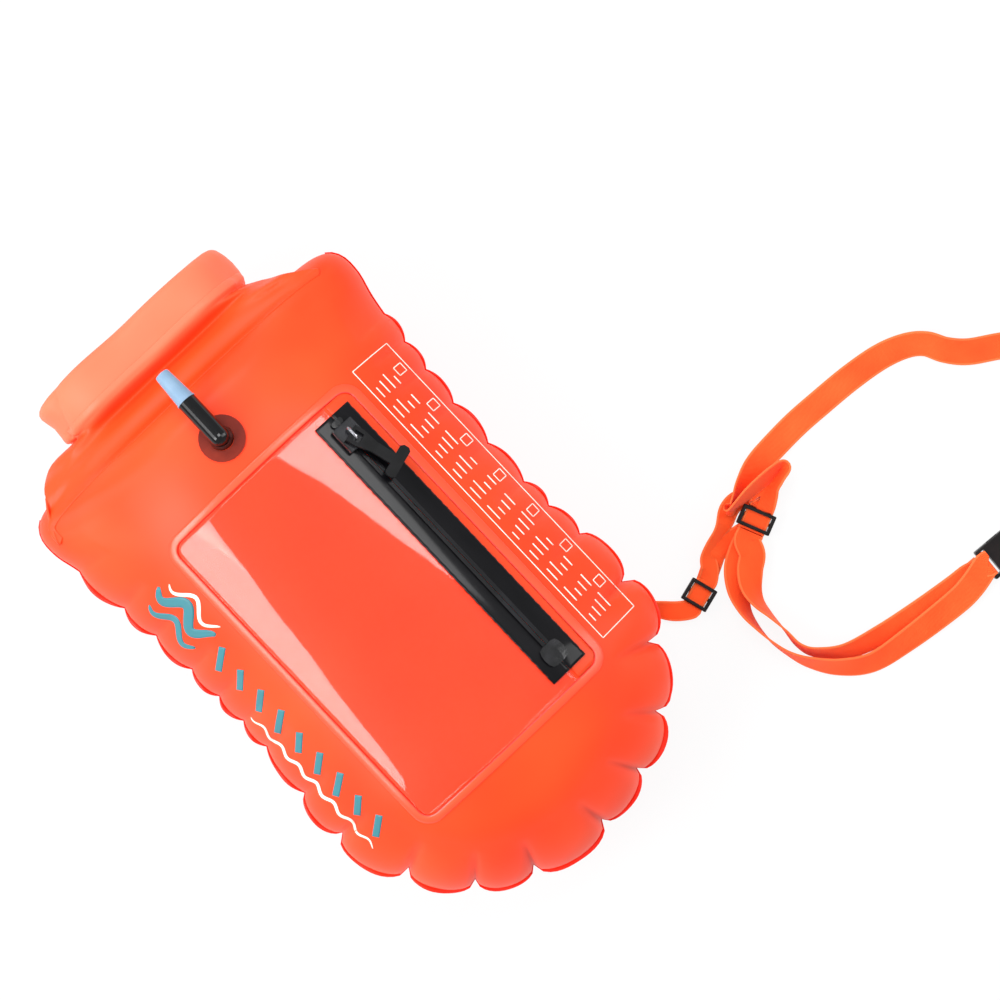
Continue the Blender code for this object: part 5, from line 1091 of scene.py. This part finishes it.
welt_vertices, welt_faces, welt_uvs = weld_frame()
piece_from("weld_frame_band", "window_frame_welt", welt_vertices, welt_faces, welt_finish,
           "window_weld", uvs=welt_uvs)

# %% [markdown]
# ## Watertight zip
# The zip is two black rubber-coated tapes with a press profile on each, a slider, and a moulded
# stop at both ends. The tapes are flexible, so they are laid again on the finished skin, with a
# gloss strong enough to mirror a lamp. The profiles, stops and slider are hard: they keep their
# frame solids and only get a finish.

# %% Zip tapes
tape_finish, tape_tree, tape_shader = finish_of(
    "zip_tape", (8, 8, 10), 0.30, Specular_IOR_Level=0.06, Coat_Weight=0.28, Coat_Roughness=0.08)
tape_wave = noise(tape_tree, 60.0, 2.0, stretch=(1.0, 0.25, 1.0))
tape_relief = maths(tape_tree, "MULTIPLY_ADD", tape_wave, 8.0, noise(tape_tree, 700.0, 2.0))
bump(tape_tree, tape_shader, tape_relief, 0.0001, 0.7)
tint(tape_tree, tape_shader, tape_wave, (0.3, (4, 4, 6)), (0.7, (16, 15, 18)))
TAPE_LOW = OVERLAY_GAP + FILM_THICKNESS + OVERLAY_GAP
TAPE_THICKNESS = 0.001
TAPE_HALF_WIDTH = 0.015
TAPE_Y = (-0.147, 0.093)
TAPE_GAP = 0.0005
TAPE_END_GAP = 0.00008
TAPE_RIPPLE = 0.00025


def zip_tape(name, side):
    """One tape, from the gap in the middle, closed at both ends, to its slightly uneven edge."""
    rows = []
    for index, y in enumerate(np.linspace(*TAPE_Y, 130)):
        from_end = min(y - TAPE_Y[0], TAPE_Y[1] - y)
        opening = float(smooth_step(from_end, 0.006, 0.014))
        near = ZIP_X + side * (TAPE_END_GAP + (TAPE_GAP - TAPE_END_GAP) * opening)
        ripple = TAPE_RIPPLE * math.sin(index * 1.7) * math.sin(index * 0.43)
        far = ZIP_X + side * TAPE_HALF_WIDTH + ripple
        rows.append([(x, y) for x in np.linspace(*sorted((near, far)), 9)])
    laid_sheet("tape_" + name, "zip_tape_" + name, rows, TAPE_LOW, TAPE_LOW + TAPE_THICKNESS,
               tape_finish, "zip_tape_black")


zip_tape("left", -1)
zip_tape("right", 1)

# %% [markdown]
# ## Finishes of the hard parts
# The frame's own solids keep their shape, so a table is enough: which node gets which finish.
# Moulded plastic is dark and slightly rough, with a fine pebbled bump and lighter worn patches.
# The pointiness of a surface would find its edges, but it needs a dense mesh, so the wear is a
# noise.

# %% Moulded and metal finishes
def moulded(name, colour, worn, roughness, coat=0.0, grain=900.0, depth=0.00006):
    """Moulded plastic or rubber with worn patches and a pebbled bump of some grain and depth."""
    material, tree, shader = finish_of(name, colour, roughness, Specular_IOR_Level=0.18,
                                       Coat_Weight=coat, Coat_Roughness=0.10)
    tint(tree, shader, noise(tree, 70.0, 4.0), (0.45, colour), (0.72, worn))
    bump(tree, shader, noise(tree, grain, 3.0), depth, 0.7)
    return material


buckle_nodes = [prefix + "_buckle_" + part for prefix in ("roll", "belt")
                for part in ("socket", "plug", "prong_left", "prong_right")]
MOULDED = [
    ("buckle_plastic", ["belt_slider", "leash_slider"] + buckle_nodes,
     (14, 9, 9), (30, 22, 21), 0.42, 0.12),
    ("zip_profile", ["zip_rail_left", "zip_rail_right"],
     (8, 8, 10), (22, 22, 25), 0.16, 0.6, 300.0),
    ("zip_slider_plastic", ["zip_slider"], (12, 12, 14), (44, 44, 48), 0.12, 1.0, 260.0),
    ("puller_rubber", ["zip_puller"], (8, 8, 9), (20, 20, 22), 0.5),
    ("moulded_stop", ["zip_top_stop", "zip_end_dock"],
     (12, 12, 13), (44, 43, 46), 0.18, 0.8, 240.0, 0.0002),
    ("valve_flange", ["valve_flange"], (112, 26, 10), (128, 34, 14), 0.45, 0.08, 400.0),
    ("valve_socket", ["valve_socket"], (46, 12, 8), (66, 20, 12), 0.3, 0.2),
    ("valve_tube", ["valve_tube"], (6, 6, 7), (12, 12, 13), 0.14, 0.35, 500.0, 0.00003),
    ("mouthpiece", ["valve_mouthpiece"], (122, 150, 176), (132, 158, 182), 0.42, 0.1),
    ("seal", ["valve_plug", "valve_o_ring"], (30, 30, 32), (50, 50, 52), 0.5),
    ("stiffener", ["roll_stiffener"], (226, 224, 216), (240, 238, 232), 0.5),
    ("transfer_port", ["transfer_port_ring"], (200, 196, 188), (214, 210, 204), 0.45),
]
bridge_finish, bridge_tree, bridge_shader = finish_of(
    "bridge_metal", (196, 196, 202), 0.16, Metallic=1.0)
tint(bridge_tree, bridge_shader, noise(bridge_tree, 220.0), (0.3, (150, 150, 156)),
     (0.7, (214, 214, 220)))

finishes = {"zip_pull_bridge": bridge_finish, "leash_anchor_patch": rim_finish}
for name, node_names, *looks in MOULDED:
    material = moulded(name, *looks)
    finishes.update((node_name, material) for node_name in node_names)
for node_name, material in finishes.items():
    mesh = nodes[node_name].data
    mesh.materials.clear()
    mesh.materials.append(material)
print(len(finishes), "frame nodes finished")

# %% [markdown]
# ## Painted motifs
# Plain motifs are painted along both sides of the window: waves and bars in teal and white on the
# left, and a thin white frame with short bars on the right. Ink is a film of paint, so each motif
# is a very thin strip that follows the skin.

# %% Ink and strokes
INK_LOW = 0.00005
INK_HIGH = 0.00030
INK_STEP = 0.0015
ACROSS_STROKE = np.linspace(-0.5, 0.5, 5)


def print_finish(name, colour, worn):
    """Ink with a slight gloss, a little worn in spots."""
    material, tree, shader = finish_of(name, colour, 0.5, Coat_Weight=0.2, Coat_Roughness=0.3)
    tint(tree, shader, noise(tree, 120.0), (0.35, worn), (0.6, colour))
    bump(tree, shader, noise(tree, 900.0, 2.0), 0.00003, 0.5)
    return material


def painted(name, strokes, material):
    """One motif made of strokes; a stroke is (points along its middle, widths)."""
    vertices, faces = [], []
    for points, widths in strokes:
        line = np.array(points, dtype=float)
        along = np.gradient(line, axis=0)
        along /= np.linalg.norm(along, axis=1, keepdims=True)
        sides = np.stack([-along[:, 1], along[:, 0]], axis=1)
        widths = np.broadcast_to(widths, len(line))
        spots = [spot + side * share * width
                 for spot, side, width in zip(line, sides, widths) for share in ACROSS_STROKE]
        front = [on_skin(*spot, INK_HIGH) for spot in spots]
        back = [on_skin(*spot, INK_LOW) for spot in spots]
        made, joined = two_sided(front, back, len(ACROSS_STROKE), len(line))
        start = len(vertices)
        vertices += made
        faces += [tuple(start + index for index in face) for face in joined]
    piece_from(name, None, vertices, faces, material, "coated_fabric_orange")


def stroke(start, end, width):
    """Straight stroke between two points."""
    start, end = np.array(start, dtype=float), np.array(end, dtype=float)
    count = max(3, int(np.linalg.norm(end - start) / INK_STEP) + 1)
    return [tuple(start + (end - start) * t) for t in np.linspace(0, 1, count)], width


def box_strokes(left, right, low, high, width):
    """Four strokes round a box."""
    corners = [(left, low), (right, low), (right, high), (left, high)]
    return [stroke(a, b, width) for a, b in zip(corners, corners[1:] + corners[:1])]


def wave_stroke(x, y_from, y_to, height, pitch, width, phase=0.0):
    """Wavy line along Y that gets thinner at both ends."""
    ys = np.linspace(y_from, y_to, max(12, int(abs(y_to - y_from) / INK_STEP)))
    taper = 0.25 + 0.75 * np.sin(math.pi * np.linspace(0, 1, len(ys))) ** 0.5
    return [(x + height * math.sin(y / pitch * math.tau + phase), y) for y in ys], width * taper


teal_ink = print_finish("teal_ink", (44, 122, 134), (50, 120, 130))
white_ink = print_finish("white_ink", (255, 236, 224), (255, 216, 198))
print("ink helpers ready")

# %% [markdown]
# The left motif is a row of slanted bars under a bundle of waves, with a long thin wave beside
# them.

# %% Motif on the left
LEFT_X = -0.1085
BAR_LENGTHS = [0.0150, 0.0115, 0.0135]
BAR_RISE = 0.0050
BAR_WIDTH = 0.0052
BAR_ROWS = np.linspace(0.024, -0.136, 9)
teal_strokes = []
for index, y in enumerate(BAR_ROWS):
    half = BAR_LENGTHS[index % 3] / 2
    teal_strokes.append(stroke((LEFT_X - half, y - BAR_RISE), (LEFT_X + half, y + BAR_RISE),
                               BAR_WIDTH))
teal_strokes.append(wave_stroke(LEFT_X + 0.004, 0.090, 0.038, 0.0060, 0.030, 0.0080))
teal_strokes.append(wave_stroke(LEFT_X - 0.009, 0.086, 0.042, 0.0045, 0.030, 0.0050, 0.4))
white_strokes = [wave_stroke(LEFT_X + 0.0135, 0.086, 0.040, 0.0050, 0.030, 0.0030, 0.3),
                 wave_stroke(LEFT_X - 0.0135, -0.020, -0.146, 0.0016, 0.018, 0.0026)]
painted("print_left_teal", teal_strokes, teal_ink)
painted("print_left_white", white_strokes, white_ink)
print("left motif", len(teal_strokes) + len(white_strokes), "strokes")

# %% [markdown]
# The right motif is a long frame with four rows of bars and a row of small boxes.

# %% Motif on the right
FRAME_X = (0.0965, 0.1275)
FRAME_Y = (-0.148, 0.106)
LINE = 0.0007
DASH = 0.0009
DASH_REACH = (0.007, 0.006)
BOX_X = FRAME_X[1] - 0.0055
BOX_HALF = (0.003, 0.0035)
strokes = box_strokes(*FRAME_X, *FRAME_Y, LINE)
for row, x in enumerate(np.linspace(FRAME_X[0] + 0.0045, FRAME_X[1] - 0.012, 4)):
    for column, y in enumerate(np.linspace(FRAME_Y[0] + 0.012, FRAME_Y[1] - 0.028, 12)):
        reach = DASH_REACH[0] + DASH_REACH[1] * ((row * 5 + column * 3) % 4) / 3
        strokes.append(stroke((x, y), (x, y + reach), DASH))
for y in np.linspace(FRAME_Y[0] + 0.030, FRAME_Y[1] - 0.020, 7):
    strokes += box_strokes(BOX_X - BOX_HALF[0], BOX_X + BOX_HALF[0],
                           y - BOX_HALF[1], y + BOX_HALF[1], LINE)
painted("print_right_white", strokes, white_ink)
print("right motif", len(strokes), "strokes")

# %% [markdown]
# ## Floor and light
# The buoy is shown on white, in soft light from the upper left. The floor is white for the camera
# and pale for everything else, so that a faint shadow stays. A plain world fills in, and large
# soft lamps on the left give the slopes their peach glow and the film, the zip and the tube their
# long reflections.

# %% Floor
FLOOR_HALF = 6.0
FLOOR_Z = -0.0005
FLOOR_GLOW = 0.90
FLOOR_GREY = 0.86


def blend(tree, share, first, second, output):
    """Mix two shaders by a socket and join the result to the output node."""
    mix = tree.nodes.new("ShaderNodeMixShader")
    for source, target in zip((share, first.outputs[0], second.outputs[0]), mix.inputs):
        tree.links.new(source, target)
    tree.links.new(mix.outputs[0], tree.nodes[output].inputs["Surface"])


def white_floor():
    """Pale floor that looks white to the camera and in reflections."""
    material, tree, shader = finish_of("floor_white", (255, 255, 255), 0.9)
    shader.inputs["Base Color"].default_value = (FLOOR_GREY, FLOOR_GREY, FLOOR_GREY, 1)
    glow = add_node(tree, "ShaderNodeEmission", Strength=1.0, Color=(1, 1, 1, 1))
    rays = tree.nodes.new("ShaderNodeLightPath").outputs
    seen = maths(tree, "MAXIMUM", rays["Is Camera Ray"], rays["Is Glossy Ray"])
    seen = maths(tree, "MAXIMUM", seen, rays["Is Transmission Ray"])
    blend(tree, maths(tree, "MULTIPLY", seen, FLOOR_GLOW), shader, glow, "Material Output")
    return material


floor_mesh = bpy.data.meshes.new("floor")
floor_mesh.from_pydata([(x * FLOOR_HALF, y * FLOOR_HALF, FLOOR_Z)
                        for x, y in ((-1, -1), (1, -1), (1, 1), (-1, 1))], [], [(0, 1, 2, 3)])
floor_mesh.materials.append(white_floor())
floor = bpy.data.objects.new("floor", floor_mesh)
scene.collection.objects.link(floor)
print("floor ready")

# %% [markdown]
# The world does the same: pure white to the camera, a cool and weaker fill for everything else.
# The two lamps at the ceiling are there for their mirror images: two pale bands in the film.

# %% World and lamps
world = bpy.data.worlds.new("studio")
scene.world = world
world.use_nodes = True
fill = world.node_tree.nodes["Background"]
fill.inputs["Color"].default_value = (0.96, 0.98, 1.0, 1)
fill.inputs["Strength"].default_value = 0.62
backdrop = add_node(world.node_tree, "ShaderNodeBackground", Strength=1.0, Color=(1, 1, 1, 1))
world_rays = world.node_tree.nodes.new("ShaderNodeLightPath").outputs
blend(world.node_tree, world_rays["Is Camera Ray"], fill, backdrop, "World Output")


def softbox(name, place, aim, size, power):
    """Rectangular lamp that looks at a point."""
    data = bpy.data.lights.new(name, "AREA")
    data.shape = "RECTANGLE"
    data.size, data.size_y = size
    data.energy = power
    lamp = bpy.data.objects.new(name, data)
    lamp.location = place
    lamp.rotation_euler = (Vector(aim) - Vector(place)).to_track_quat("-Z", "Y").to_euler()
    scene.collection.objects.link(lamp)
    return lamp


def ceiling_lamp(name, place, long_way, size, power):
    """Rectangular lamp that faces down, with its long side along a direction."""
    lamp = softbox(name, place, (place[0], place[1], 0), size, power)
    lamp.rotation_euler = (0, 0, math.atan2(long_way[1], long_way[0]))


softbox("key", (-1.5, 0.9, 1.6), (0, 0, 0.08), (1.1, 1.6), 17)
softbox("top_back", (0.1, 1.7, 1.5), (0, 0.1, 0.08), (1.6, 0.7), 19)
softbox("right_strip", (1.7, -0.7, 1.1), (0.05, 0, 0.08), (0.4, 1.4), 8)
ceiling_lamp("film_band_left", (-1.58, 0.247, 1.5), (-0.87, -0.49), (1.7, 0.9), 38)
ceiling_lamp("film_band_right", (0.522, 0.238, 1.5), (0.90, -0.434), (0.75, 0.40), 7.5)
